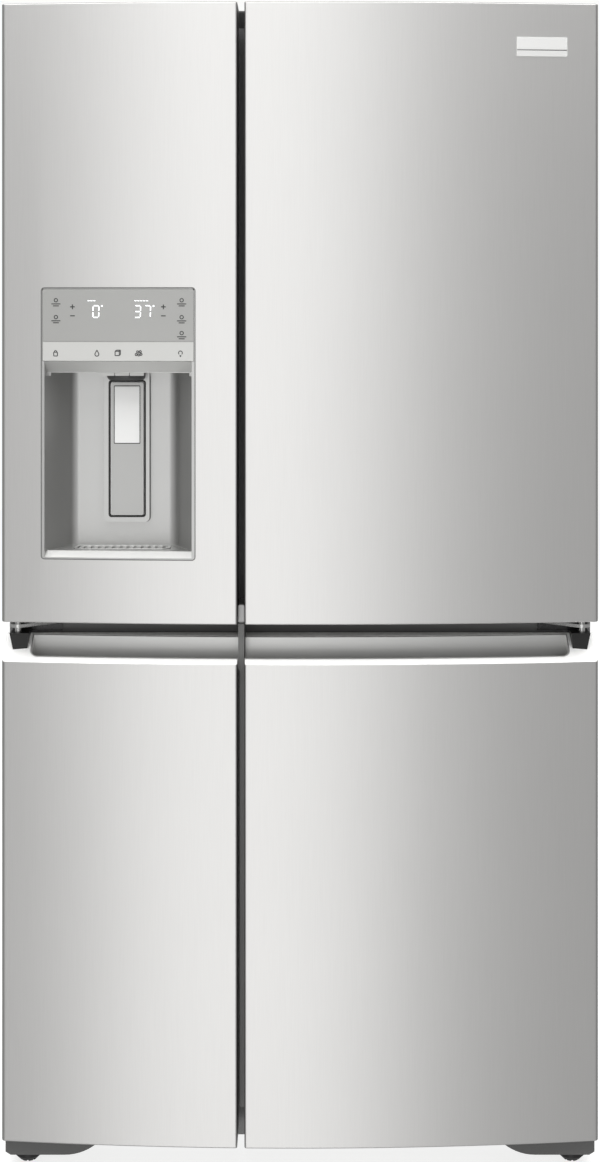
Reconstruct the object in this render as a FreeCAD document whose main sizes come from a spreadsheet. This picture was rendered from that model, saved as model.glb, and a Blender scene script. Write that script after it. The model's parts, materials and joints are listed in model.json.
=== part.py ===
"""Four-door refrigerator with bowed steel doors and a dispenser in the upper left door.

Frame: +Z up, front towards -Y, +X to the right as seen from the front.
The origin is the bottom centre of the whole appliance's box.  All sizes are in millimetres.
"""
import FreeCAD, Part
import os
import re
import Sketcher

V = FreeCAD.Vector
doc = FreeCAD.newDocument("Refrigerator")
sheet = doc.addObject("Spreadsheet::Sheet", "dims")

DIMS = {
    # whole appliance
    "half_width": 455,
    "top_height": 1780,
    "door_front": -365,
    "cabinet_back": 365,
    "bow_radius": 3711,
    # cabinet
    "cabinet_half": 453,
    "cabinet_front": -265,
    "cabinet_low": 25,
    "cabinet_top": 1752,
    "sheet_wall": 1.5,
    "liner_wall": 2,
    "base_height": 35,
    # the two columns and the wall between them
    "freezer_low_x": -410,
    "freezer_high_x": -119,
    "fridge_low_x": -59,
    "fridge_high_x": 410,
    "cavity_back": 300,
    "cavity_step_back": 100,
    "cavity_step_height": 290,
    "lower_cavity_low": 82,
    "lower_cavity_high": 798,
    "upper_cavity_low": 862,
    "upper_cavity_high": 1735,
    # machine compartment at the bottom rear
    "machine_front": 120,
    "machine_top": 262,
    # doors
    "split_left": -95,
    "split_right": -84,
    "door_back": -277,
    "door_skin": 1.5,
    "outer_edge_radius": 6,
    "split_edge_radius": 3,
    "rim_radius": 2,
    "upper_door_low": 837,
    "lower_door_low": 45,
    "lower_door_high": 811,
    "nose_height": 777,
    "slope_depth": 56,
    "slope_skin_drop": 1.75,
    "liner_bulge": 19,
    "bulge_rim": 20,
    "bulge_gap": 8,
    # door hinges
    "axis_x": 435,
    "axis_y": -300,
    "pin_radius": 5,
    "pin_fit": 0.05,
    "arm_half": 11,
    # gaskets
    "gasket_width": 18,
    "gasket_thick": 11.7,
    # handle pockets
    "pocket_outer_x": 412,
    "pocket_front": 12,
    "pocket_rear": 53,
    "pocket_bottom": 766,
    "pocket_lip": 777,
    "pocket_wall": 2,
    "pocket_corner": 13,
    # dispenser
    "dispenser_low_x": -394,
    "dispenser_high_x": -158.6,
    "dispenser_low": 934,
    "dispenser_high": 1347,
    "dispenser_back": -262,
    "recess_low_x": -389,
    "recess_high_x": -164,
    "recess_back_low_x": -354,
    "recess_back_high_x": -192,
    "recess_back": -268,
    "recess_low": 946,
    "recess_high": 1217,
    "chin_height": 1235,
    "chin_depth": 20,
    "tray_low": 941,
    "tray_inset": 10,
    "tray_gap": 1,
    "boss_low_x": -305,
    "boss_high_x": -234,
    "boss_low": 983,
    "boss_face": -280,
    "paddle_low_x": -294,
    "paddle_high_x": -243,
    "paddle_low": 994,
    "paddle_high": 1200,
    "paddle_face": -282,
    "paddle_thick": 4,
    "paddle_gap": 1.2,
    "paddle_pin_y": -275.5,
    "paddle_pin_z": 1194,
    "paddle_pin_radius": 2,
    "chute_x": -268,
    "chute_y": -300,
    "chute_radius": 25,
    "chute_wall": 3,
    "chute_top": 1398,
    # feet, rollers and toe covers
    "foot_x": 420,
    "foot_y": -291,
    "foot_radius": 20,
    "foot_height": 13,
    "stem_radius": 5,
    "stem_top": 43,
    "roller_x": 400,
    "roller_y": 300,
    "roller_radius": 20,
    "roller_half": 12,
    "toe_front": -325,
    "toe_low": 19,
    "toe_high": 41,
    "toe_inner_x": 306,
    "toe_outer_x": 451,
    "toe_wall": 2.5,
    # drawers and bins
    "drawer_front": -215,
    "drawer_wall": 3,
    "bin_wall": 3,
}

for row, (alias, number) in enumerate(DIMS.items(), start=1):
    sheet.set(f"A{row}", alias)
    sheet.set(f"B{row}", str(number))
    sheet.setAlias(f"B{row}", alias)
doc.recompute()

WORD = re.compile(r"[a-z]+(?:_[a-z]+)+")
SUB_PARTS = []
LEFT = -1
RIGHT = 1


# ---------------------------------------------------------------- helpers

def bind(item, prop, text):
    """Bind a property to an expression written with the sheet's aliases."""
    item.setExpression(prop, WORD.sub(lambda word: "dims." + word.group(0), str(text)))


def value(text):
    """The number that an expression in the sheet's aliases stands for."""
    return float(sheet.evalExpression(str(text)))


def sub_part(name, item):
    """Keep an object as one sub-part: its label names its node."""
    item.Label = name
    SUB_PARTS.append(item)
    return item


def side_span(side, near, far):
    """An x range given as distances from the middle plane, on one side of it."""
    if side == LEFT:
        return f"-({far})", f"-({near})"
    return str(near), str(far)


def box(name, x_span, y_span, z_span):
    item = doc.addObject("Part::Box", name)
    for size, place, (low, high) in (("Length", "x", x_span), ("Width", "y", y_span),
                                     ("Height", "z", z_span)):
        bind(item, size, f"({high}) - ({low})")
        bind(item, f"Placement.Base.{place}", low)
    return item


AXIS_TURN = {
    "x": FreeCAD.Rotation(V(0, 1, 0), 90),
    "y": FreeCAD.Rotation(V(1, 0, 0), -90),
    "z": FreeCAD.Rotation(),
}


def rod(name, axis, centre, radius, span):
    """A cylinder along an axis; centre gives the other two coordinates in xyz order."""
    item = doc.addObject("Part::Cylinder", name)
    item.Placement = FreeCAD.Placement(V(), AXIS_TURN[axis])
    others = [letter for letter in "xyz" if letter != axis]
    bind(item, "Radius", radius)
    bind(item, "Height", f"({span[1]}) - ({span[0]})")
    bind(item, f"Placement.Base.{axis}", span[0])
    for letter, place in zip(others, centre):
        bind(item, f"Placement.Base.{letter}", place)
    return item


def join(name, items):
    item = doc.addObject("Part::MultiFuse", name)
    item.Shapes = items
    item.Refine = True
    return item


def group(name, items):
    item = doc.addObject("Part::Compound", name)
    item.Links = items
    return item


def cut(name, base, tools):
    item = doc.addObject("Part::Cut", name)
    item.Base = base
    item.Tool = tools[0] if len(tools) == 1 else group(name + "_tools", tools)
    return item


def cut_each(name, base, tools):
    """Cut by tools that overlap one another, one after the other."""
    for number, tool in enumerate(tools, start=1):
        base = cut(f"{name}_{number}", base, [tool])
    return base


def common(name, first, second):
    item = doc.addObject("Part::Common", name)
    item.Base = first
    item.Tool = second
    return item


def rounded(name, base, radius, wanted):
    """Round the edges of base for which wanted(edge) is true; radius may depend on the edge."""
    doc.recompute()
    picks = []
    for number, edge in enumerate(base.Shape.Edges, start=1):
        if wanted(edge):
            size = radius(edge) if callable(radius) else value(radius)
            picks.append((number, size, size))
    item = doc.addObject("Part::Fillet", name)
    item.Base = base
    item.Edges = picks
    return item


def upright(edge):
    box_of = edge.BoundBox
    return box_of.XLength < 0.01 and box_of.YLength < 0.01


PLANES = {
    "XY": FreeCAD.Rotation(),
    "XZ": FreeCAD.Rotation(V(1, 0, 0), 90),
    "YZ": FreeCAD.Rotation(V(1, 1, 1), 120),
}


def draw(sketch, corners, arcs):
    """Draw a closed outline.  arcs maps an edge's number to a point that its arc passes through."""
    places = [V(value(u), value(v), 0) for u, v in corners]
    count = len(places)
    for number in range(count):
        start, end = places[number], places[(number + 1) % count]
        if number in arcs:
            through = V(value(arcs[number][0]), value(arcs[number][1]), 0)
            sketch.addGeometry(Part.Arc(start, through, end))
        else:
            sketch.addGeometry(Part.LineSegment(start, end))
    for number, (u, v) in enumerate(corners):
        vertex = sketch.getPoint(number, 1)
        turned = number in arcs and vertex.distanceToPoint(places[number]) > 1e-6
        pin_point(sketch, number, 2 if turned else 1, (u, v))
    for number in arcs:
        mark = sketch.addGeometry(Part.Point(V(value(arcs[number][0]), value(arcs[number][1]), 0)), True)
        sketch.addConstraint(Sketcher.Constraint("PointOnObject", mark, 1, number))
        pin_point(sketch, mark, 1, arcs[number])
    for number in range(count):
        follow = (number + 1) % count
        ends = [(number, point) for point in (1, 2)]
        heads = [(follow, point) for point in (1, 2)]
        pair = min(((a, b) for a in ends for b in heads),
                   key=lambda both: sketch.getPoint(*both[0]).distanceToPoint(sketch.getPoint(*both[1])))
        sketch.addConstraint(Sketcher.Constraint("Coincident", *pair[0], *pair[1]))


def pin_point(sketch, geometry, point, place):
    """Hold one sketch point at expressions (u, v) from the sketch's origin."""
    for kind, text in (("DistanceX", place[0]), ("DistanceY", place[1])):
        number = sketch.addConstraint(Sketcher.Constraint(kind, -1, 1, geometry, point, value(text)))
        bind(sketch, f"Constraints[{number}]", text)


def outline(name, plane, corners, arcs=None):
    sketch = doc.addObject("Sketcher::SketchObject", name)
    sketch.Placement = FreeCAD.Placement(V(), PLANES[plane])
    draw(sketch, corners, arcs or {})
    return sketch


def prism(name, plane, corners, span, arcs=None):
    """An outline drawn in a plane and pushed from span[0] to span[1] along its normal."""
    sketch = outline(name + "_outline", plane, corners, arcs)
    item = doc.addObject("Part::Extrusion", name)
    item.Base = sketch
    item.DirMode = "Custom"
    item.Solid = True
    normal = {"XY": V(0, 0, 1), "XZ": V(0, 1, 0), "YZ": V(1, 0, 0)}[plane]
    item.Dir = normal
    letter = {"XY": "z", "XZ": "y", "YZ": "x"}[plane]
    bind(item, "LengthFwd", f"({span[1]}) - ({span[0]})")
    bind(item, f"Placement.Base.{letter}", span[0])
    return item


def bow_sweep(name, corners, arcs=None):
    """A section of (depth behind the bowed front, height), swept about the bow's own axis."""
    placed = [(f"door_front + ({u})", v) for u, v in corners]
    mids = {number: (f"door_front + ({u})", v) for number, (u, v) in (arcs or {}).items()}
    item = doc.addObject("Part::Revolution", name)
    item.Source = outline(name + "_section", "YZ", placed, mids)
    item.Axis = V(0, 0, 1)
    item.Base = V(0, value("door_front + bow_radius"), 0)
    item.Angle = 16
    item.Symmetric = True
    item.Solid = True
    return item


def bowed_block(name, x_span, z_span, inset, back):
    """A block whose front face lies inset behind the bowed front."""
    bow = rod(name + "_bow", "z", ("0", "door_front + bow_radius"), f"bow_radius - ({inset})", z_span)
    room = box(name + "_room", x_span, ("door_front - 5", back), z_span)
    return common(name, bow, room)


def body_sketch(body, name, role, corners, arcs=None):
    """A sketch on one of a body's own origin planes."""
    sketch = body.newObject("Sketcher::SketchObject", name)
    plane = [item for item in body.Origin.OriginFeatures if item.Role == role][0]
    sketch.AttachmentSupport = [(plane, "")]
    sketch.MapMode = "FlatFace"
    doc.recompute()
    draw(sketch, corners, arcs or {})
    return sketch


def rectangle(u_span, v_span):
    return [(u_span[0], v_span[0]), (u_span[1], v_span[0]), (u_span[1], v_span[1]), (u_span[0], v_span[1])]


# ---------------------------------------------------------------- cabinet

def make_outer_shell():
    block = box("shell_block", ("-cabinet_half", "cabinet_half"),
                ("cabinet_front", "cabinet_back - 1.8"), ("cabinet_low", "cabinet_top"))
    hollow = box("shell_hollow", ("-cabinet_half + sheet_wall", "cabinet_half - sheet_wall"),
                 ("cabinet_front + sheet_wall", "cabinet_back + 5"),
                 ("cabinet_low - 5", "cabinet_top - sheet_wall"))
    opening = box("shell_opening", ("freezer_low_x", "fridge_high_x"),
                  ("cabinet_front - 5", "cabinet_front + 5"),
                  ("lower_cavity_low - 2", "upper_cavity_high"))
    sub_part("outer_shell", cut_each("outer_shell", block, [hollow, opening]))


def make_rear_covers():
    panel = box("rear_panel_plate", ("-cabinet_half", "cabinet_half"),
                ("cabinet_back - 1.5", "cabinet_back"), ("machine_top", "cabinet_top"))
    ribs = [box(f"rear_rib_{number}", (str(x - 12), str(x + 12)),
                ("cabinet_back - 2", "cabinet_back - 0.5"), ("machine_top + 90", "cabinet_top - 90"))
            for number, x in enumerate((-300, -100, 100, 300))]
    sub_part("rear_panel", cut("rear_panel", panel, ribs))

    plate = box("machine_plate", ("-cabinet_half + 5", "cabinet_half - 5"),
                ("cabinet_back - 1.5", "cabinet_back"), ("cabinet_low + 2", "machine_top - 2"))
    slots = [box(f"machine_slot_{row}_{column}", (str(x), str(x + 60)),
                 ("cabinet_back - 5", "cabinet_back + 5"), (str(z), str(z + 6)))
             for column, x in enumerate((-380, -300, -220, 120, 200, 280))
             for row, z in enumerate(range(70, 230, 18))]
    inlet = box("machine_inlet_hole", ("395", "425"), ("cabinet_back - 5", "cabinet_back + 5"),
                ("60", "90"))
    sub_part("machine_cover", cut("machine_cover", plate, slots + [inlet]))


def cavity_boxes(name, x_span):
    """The lower compartment, which steps forward over the machine compartment, and the upper one."""
    front = "cabinet_front + 2.5"
    return [
        box(name + "_deep", x_span, (front, "cavity_back"), ("cavity_step_height", "lower_cavity_high")),
        box(name + "_shallow", x_span, (front, "cavity_step_back"),
            ("lower_cavity_low", "cavity_step_height")),
    ], [box(name + "_upper", x_span, (front, "cavity_back"), ("upper_cavity_low", "upper_cavity_high"))]


def grown_boxes(name, x_span):
    front = "cabinet_front + 2.5"
    wide = (f"{x_span[0]} - liner_wall", f"{x_span[1]} + liner_wall")
    rear = "cavity_back + liner_wall"
    return [
        box(name + "_deep_out", wide, (front, rear),
            ("cavity_step_height - liner_wall", "lower_cavity_high + liner_wall")),
        box(name + "_shallow_out", wide, (front, "cavity_step_back + liner_wall"),
            ("lower_cavity_low - liner_wall", "cavity_step_height")),
    ], [box(name + "_upper_out", wide, (front, rear),
            ("upper_cavity_low - liner_wall", "upper_cavity_high + liner_wall"))]


def make_liners():
    """Two plastic tubs per column; returns their outer volumes, which the foam surrounds."""
    volumes = []
    for column, x_span in (("freezer", ("freezer_low_x", "freezer_high_x")),
                           ("fridge", ("fridge_low_x", "fridge_high_x"))):
        inner_low, inner_high = cavity_boxes(column, x_span)
        outer_low, outer_high = grown_boxes(column, x_span)
        low_out = join(column + "_low_out", outer_low)
        tubs = [cut(column + "_low_tub", low_out, [join(column + "_low_in", inner_low)]),
                cut(column + "_high_tub", outer_high[0], inner_high)]
        if column == "fridge":
            head = box("filter_head", ("330", "390"), ("-60", "60"),
                       ("upper_cavity_high - 38", "upper_cavity_high"))
            bore = rod("filter_bore", "y", ("360", "upper_cavity_high - 40"), "24.06", ("-70", "50"))
            tubs[1] = join("fridge_high_tub_head", [tubs[1], cut("filter_head_cut", head, [bore])])
        sub_part(column + "_liner", group(column + "_liner", tubs))
        volumes += [low_out, outer_high[0]]
    return volumes


def make_foam(volumes):
    block = box("foam_block", ("-cabinet_half + sheet_wall", "cabinet_half - sheet_wall"),
                ("cabinet_front + 2.5", "cabinet_back - 1.8"),
                ("cabinet_low + base_height", "cabinet_top - sheet_wall"))
    machine = box("foam_machine", ("-cabinet_half", "cabinet_half"), ("machine_front", "cabinet_back"),
                  ("cabinet_low", "machine_top"))
    sub_part("insulation_foam", cut_each("insulation_foam", block, [machine] + volumes))


def make_mullions():
    y_span = ("cabinet_front", "cabinet_front + 2.5")
    bar_span = ("lower_cavity_high + 2", "upper_cavity_low - 2")
    pieces = [
        box("mullion_post", ("freezer_high_x", "fridge_low_x"), y_span,
            ("lower_cavity_low - 2", "upper_cavity_high")),
        box("mullion_left", ("freezer_low_x", "freezer_high_x"), y_span, bar_span),
        box("mullion_right", ("fridge_low_x", "fridge_high_x"), y_span, bar_span),
    ]
    sub_part("mullions", join("mullions", pieces))


def make_base_frame():
    tray = box("base_tray", ("-cabinet_half + 2", "cabinet_half - 2"),
               ("cabinet_front + 3", "machine_front"), ("cabinet_low", "cabinet_low + base_height - 0.5"))
    hollow = box("base_hollow", ("-cabinet_half + 4", "cabinet_half - 4"),
                 ("cabinet_front + 5", "machine_front - 2"), ("cabinet_low + 2", "cabinet_low + 60"))
    plate = box("base_plate", ("-cabinet_half + 2", "cabinet_half - 2"),
                ("machine_front", "cabinet_back - 4"), ("cabinet_low", "cabinet_low + 2"))
    pieces = [cut("base_tray_cut", tray, [hollow])]
    wells = []
    for side, word in ((LEFT, "left"), (RIGHT, "right")):
        wells.append(box(f"roller_well_{word}", side_span(side, "roller_x - 18", "roller_x + 18"),
                         ("roller_y - 26", "roller_y + 26"), ("cabinet_low - 5", "cabinet_low + 5")))
        for cheek, offset in (("in", "-21"), ("out", "18")):
            centre = f"roller_x + ({offset})"
            pieces.append(box(f"roller_cheek_{word}_{cheek}", side_span(side, centre, f"{centre} + 3"),
                              ("roller_y - 12", "roller_y + 12"), ("roller_radius - 8", "cabinet_low + 20")))
        pieces.append(rod(f"roller_axle_{word}", "x", ("roller_y", "roller_radius"), "4",
                          side_span(side, "roller_x - 21", "roller_x + 21")))
    pieces.append(cut("base_plate_cut", plate, wells))
    sub_part("base_frame", join("base_frame", pieces))


def make_top_trim():
    block = box("trim_block", ("-cabinet_half", "cabinet_half"), ("cabinet_front", "cabinet_front + 115"),
                ("cabinet_top + 0.3", "top_height"))
    hollow = box("trim_hollow", ("-cabinet_half + 2.5", "cabinet_half - 2.5"),
                 ("cabinet_front + 2.5", "cabinet_front + 112.5"), ("cabinet_top - 1", "top_height - 2.5"))
    slots = [box(f"trim_slot_{side}", side_span(side, "axis_x - 17", "axis_x + 15"),
                 ("cabinet_front - 5", "cabinet_front + 5"), ("cabinet_top - 1", "cabinet_top + 10"))
             for side in (LEFT, RIGHT)]
    soft = rounded("trim_round", block, "4",
                   lambda edge: edge.BoundBox.ZMin > value("top_height") - 0.01)
    sub_part("top_trim", cut_each("top_trim", soft, [hollow] + slots))


# ---------------------------------------------------------------- hinges, feet and toe covers

def hinge_pin(name, side, z_span):
    return rod(name, "z", (f"{side} * axis_x", "axis_y"), "pin_radius", z_span)


def make_top_hinges():
    for_both = []
    for side in (LEFT, RIGHT):
        low, high = "cabinet_top + 0.2", "cabinet_top + 5.2"
        tag = "left" if side == LEFT else "right"
        for_both.append(join(f"top_hinge_{tag}", [
            box(f"top_arm_{tag}", side_span(side, "axis_x - arm_half", "axis_x + arm_half"),
                ("axis_y", "axis_y + 90"), (low, high)),
            rod(f"top_arm_end_{tag}", "z", (f"{side} * axis_x", "axis_y"), "arm_half", (low, high)),
            box(f"top_plate_{tag}", side_span(side, "axis_x - 60", "axis_x + arm_half"),
                ("axis_y + 60", "axis_y + 130"), (low, high)),
            hinge_pin(f"top_pin_{tag}", side, ("cabinet_top - 26", high)),
        ]))
    sub_part("top_hinges", group("top_hinges", for_both))


def make_middle_hinges():
    for_both = []
    low, high = "upper_door_low - 13", "upper_door_low - 8"
    for side in (LEFT, RIGHT):
        tag = "left" if side == LEFT else "right"
        leaf = prism(f"middle_leaf_{tag}", "XY", [
            (f"{side} * (axis_x + 13)", "axis_y"), (f"{side} * (axis_x - 10)", "axis_y - 9"),
            (f"{side} * (axis_x - 60)", "cabinet_front - 0.1"),
            (f"{side} * (axis_x + 13)", "cabinet_front - 0.1")], (low, high))
        for_both.append(join(f"middle_hinge_{tag}", [
            leaf,
            rod(f"middle_eye_{tag}", "z", (f"{side} * axis_x", "axis_y"), "13", (low, high)),
            box(f"middle_flange_{tag}", side_span(side, "axis_x - 65", "axis_x + 13"),
                ("cabinet_front - 3", "cabinet_front - 0.1"), (f"{low} - 11", f"{high} + 9")),
            hinge_pin(f"middle_pin_{tag}", side, (f"{low} - 26", f"{high} + 24")),
        ]))
    sub_part("middle_hinges", group("middle_hinges", for_both))


def make_bottom_hinges():
    for_both = []
    for side in (LEFT, RIGHT):
        tag = "left" if side == LEFT else "right"
        x_span = side_span(side, "foot_x - 17", "axis_x + 12")
        bracket = join(f"bottom_bracket_{tag}", [
            box(f"bottom_plate_{tag}", x_span, ("axis_y - 20", "cabinet_front - 0.1"), ("34", "38")),
            box(f"bottom_flange_{tag}", x_span, ("cabinet_front - 3", "cabinet_front - 0.1"),
                ("cabinet_low + 2", "58")),
            hinge_pin(f"bottom_pin_{tag}", side, ("36", "62")),
        ])
        hole = rod(f"stem_hole_{tag}", "z", (f"{side} * foot_x", "foot_y"), "stem_radius + pin_fit",
                   ("30", "44"))
        for_both.append(cut(f"bottom_hinge_{tag}", bracket, [hole]))
    sub_part("bottom_hinges", group("bottom_hinges", for_both))


def toe_profile(side):
    """The toe cover's front outline: deep at the outside, curving up towards the middle."""
    corners = [
        (f"{side} * toe_outer_x", "toe_high"),
        (f"{side} * toe_outer_x", "toe_low + 5"),
        (f"{side} * (toe_outer_x - 8)", "toe_low"),
        (f"{side} * (toe_inner_x + 54)", "toe_low"),
        (f"{side} * toe_inner_x", "toe_high"),
    ]
    arcs = {3: (f"{side} * (toe_inner_x + 26)", "toe_low + 5.3")}
    return corners, arcs


def make_toe_covers():
    covers = []
    for side in (LEFT, RIGHT):
        tag = "left" if side == LEFT else "right"
        corners, arcs = toe_profile(side)
        block = prism(f"toe_block_{tag}", "XZ", corners, ("toe_front", "cabinet_front - 5"), arcs)
        room = box(f"toe_room_{tag}", side_span(side, "toe_inner_x + 32", "toe_outer_x - toe_wall"),
                   ("toe_front + toe_wall", "cabinet_front"), ("toe_low - 5", "toe_high + 5"))
        covers.append(cut(f"toe_cover_{tag}", block, [room]))
    sub_part("toe_covers", group("toe_covers", covers))


def make_feet():
    """Screw feet: a tapered, notched disc on a threaded stem, each a turned body."""
    for side, word in ((LEFT, "left"), (RIGHT, "right")):
        body = doc.addObject("PartDesign::Body", f"foot_{word}_body")
        bind(body, "Placement.Base.x", f"{side} * foot_x")
        bind(body, "Placement.Base.y", "foot_y")
        section = body_sketch(body, f"foot_{word}_section", "XZ_Plane", [
            ("0", "0"), ("foot_radius * 0.6", "0"), ("foot_radius", "foot_height * 0.6"),
            ("foot_radius", "foot_height"), ("stem_radius", "foot_height"),
            ("stem_radius", "stem_top - 1"), ("stem_radius - 1", "stem_top"), ("0", "stem_top")])
        turned = body.newObject("PartDesign::Revolution", f"foot_{word}_turned")
        turned.Profile = section
        turned.ReferenceAxis = (section, ["V_Axis"])
        turned.Angle = 360
        doc.recompute()
        notch = body_sketch(body, f"foot_{word}_notch", "XY_Plane",
                            rectangle(("-1.5", "1.5"), ("foot_radius * 0.45", "foot_radius + 2")))
        pocket = body.newObject("PartDesign::Pocket", f"foot_{word}_pocket")
        pocket.Profile = notch
        pocket.Length = 5
        pocket.Reversed = True
        doc.recompute()
        ring = body.newObject("PartDesign::PolarPattern", f"foot_{word}_ring")
        ring.Originals = [pocket]
        ring.Axis = (notch, ["N_Axis"])
        ring.Angle = 360
        ring.Occurrences = 8
        body.Tip = ring
        sub_part(f"foot_{word}", body)


def make_rollers():
    for side, word in ((LEFT, "left"), (RIGHT, "right")):
        wheel = rod(f"roller_wheel_{word}", "x", ("roller_y", "roller_radius"), "roller_radius",
                    side_span(side, "roller_x - roller_half", "roller_x + roller_half"))
        soft = rounded(f"roller_soft_{word}", wheel, "2.5", lambda edge: edge.Length > 60)
        bore = rod(f"roller_bore_{word}", "x", ("roller_y", "roller_radius"), "4 + pin_fit",
                   side_span(side, "roller_x - 30", "roller_x + 30"))
        sub_part(f"rear_roller_{word}", cut(f"rear_roller_{word}", soft, [bore]))


# ---------------------------------------------------------------- doors

def door_x(side):
    return ("-half_width", "split_left") if side == LEFT else ("split_right", "half_width")


def shrunk(span, amount):
    return f"{span[0]} + {amount}", f"{span[1]} - {amount}"


def edge_radius_for(inset):
    """Outer door edges are rounder than the ones at the split."""
    def radius(edge):
        outer = abs(edge.BoundBox.XMin) > value("half_width") - 10
        size = value("outer_edge_radius") if outer else value("split_edge_radius")
        return size - value(inset)
    return radius


def door_block(name, side, z_span, inset, back):
    """The door's outer volume with its upright front edges rounded."""
    block = bowed_block(name + "_block", shrunk(door_x(side), inset), z_span, inset, back)
    front = value("door_back") - 20
    return rounded(name, block, edge_radius_for(inset),
                   lambda edge: upright(edge) and edge.BoundBox.YMax < front)


def round_rim(name, base, heights):
    """Round the top and bottom rims of a door, all but their back edges."""
    back = value("door_back") - 0.01
    levels = [value(height) for height in heights]

    def on_rim(edge):
        level = edge.BoundBox
        flat = level.ZLength < 0.01 and any(abs(level.ZMin - height) < 0.01 for height in levels)
        return flat and level.YMin < back
    return rounded(name, base, "rim_radius", on_rim)


def slope_wedge(name, drop):
    """What is cut off the front top of a lower door, leaving its long slope behind the nose."""
    return bow_sweep(name, [
        ("-5", f"nose_height - {drop} - 5 * (lower_door_high - nose_height) / slope_depth"),
        ("slope_depth", f"lower_door_high - {drop}"),
        ("slope_depth", "lower_door_high + 20"), ("-5", "lower_door_high + 20")])


def pocket_volume(name, side, grow):
    """The finger pocket behind the nose, open at the split end and closed at the outer end."""
    sweep = bow_sweep(name + "_sweep", [
        (f"pocket_front - {grow}", "lower_door_high + 20"),
        (f"pocket_front - {grow}", "pocket_lip"),
        (f"pocket_rear + {grow}", f"pocket_lip - {grow}"),
        (f"pocket_rear + {grow}", "lower_door_high + 20")],
        {1: ("(pocket_front + pocket_rear) / 2", f"pocket_bottom - {grow}")})
    if side == LEFT:
        x_span = (f"-pocket_outer_x - {grow}", "split_left + 20")
    else:
        x_span = ("split_right - 20", f"pocket_outer_x + {grow}")
    room = box(name + "_room", x_span, ("door_front - 5", "door_back + 40"),
               ("pocket_bottom - 20", "lower_door_high + 30"))
    return common(name + "_plan", sweep, room)


def door_liner(name, side, z_span, hinge_reach):
    """The dished plastic inner face that stands behind the door and inside the compartment."""
    if side == LEFT:
        x_span = (f"-axis_x + {hinge_reach}", "freezer_high_x - 9")
    else:
        x_span = ("fridge_low_x + 9", f"axis_x - {hinge_reach}")
    block = box(name + "_bulge", x_span, ("door_back - 0.5", "door_back + liner_bulge"), z_span)
    soft = rounded(name + "_soft", block, "6",
                   lambda edge: edge.BoundBox.YMin > value("door_back + liner_bulge") - 0.01)
    dish = box(name + "_dish", shrunk(x_span, "bulge_rim"),
               ("door_back + 1.5", "door_back + liner_bulge + 5"), shrunk(z_span, "bulge_rim"))
    return cut(name, soft, [dish])


def gasket(name, side, z_span):
    if side == LEFT:
        x_span = ("-axis_x", "split_left - 4")
    else:
        x_span = ("split_right + 4", "axis_x")
    y_span = ("door_back", "door_back + gasket_thick")
    ring = box(name + "_ring", x_span, y_span, z_span)
    inside = box(name + "_inside", shrunk(x_span, "gasket_width"),
                 ("door_back - 5", "cabinet_front + 5"), shrunk(z_span, "gasket_width"))
    sub_part(name, cut(name, ring, [inside]))


def hinge_bore(name, side, z_span):
    return rod(name, "z", (f"{side} * axis_x", "axis_y"), "pin_radius + pin_fit", z_span)


def make_upper_door(side):
    word = "left" if side == LEFT else "right"
    tag = f"upper_{word}"
    z_span = ("upper_door_low", "top_height")
    outer = round_rim(tag + "_outer", door_block(tag + "_edges", side, z_span, "0", "door_back"), z_span)
    inner = door_block(tag + "_inner", side, shrunk(z_span, "door_skin"), "door_skin", "door_back + 5")
    recess = box(tag + "_recess", side_span(side, "axis_x - 20", "half_width + 5"),
                 ("axis_y - 27", "door_back + 2"), ("cabinet_top - 4", "top_height + 5"))
    bores = [hinge_bore(tag + "_low_bore", side, ("upper_door_low - 5", "upper_door_low + 20")),
             hinge_bore(tag + "_top_bore", side, ("cabinet_top - 30", "cabinet_top"))]
    tools = [recess] + bores
    window = []
    if side == LEFT:
        window = [bowed_block("dispenser_window", ("dispenser_low_x", "dispenser_high_x"),
                              ("dispenser_low", "dispenser_high"), "-3", "dispenser_back")]
        window = [rounded("dispenser_window_soft", window[0], "5",
                          lambda edge: edge.BoundBox.XLength < 0.01 and edge.BoundBox.ZLength < 0.01)]
    skin = cut_each(tag + "_skin", outer, [inner] + tools + window)
    sub_part(tag + "_door_skin", skin)

    core = door_block(tag + "_core", side, shrunk(z_span, "door_skin"), "door_skin", "door_back")
    liner_span = ("upper_cavity_low + bulge_gap", "upper_cavity_high - bulge_gap")
    pieces = [core, door_liner(tag + "_liner", side, liner_span, "33")]
    if side == LEFT:
        pieces.append(box("ice_path_bulge", ("-400", "-150"), ("door_back - 0.5", "-205"),
                          ("905", "chute_top")))
        tools = tools + [chute_rod("door_chute_bore", "chute_radius + 0.3")]
    sub_part(tag + "_door_body", cut_each(tag + "_body", join(tag + "_body_block", pieces), tools + window))
    gasket(tag + "_door_gasket", side, ("upper_cavity_low - 14", "upper_cavity_high + 12"))


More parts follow.
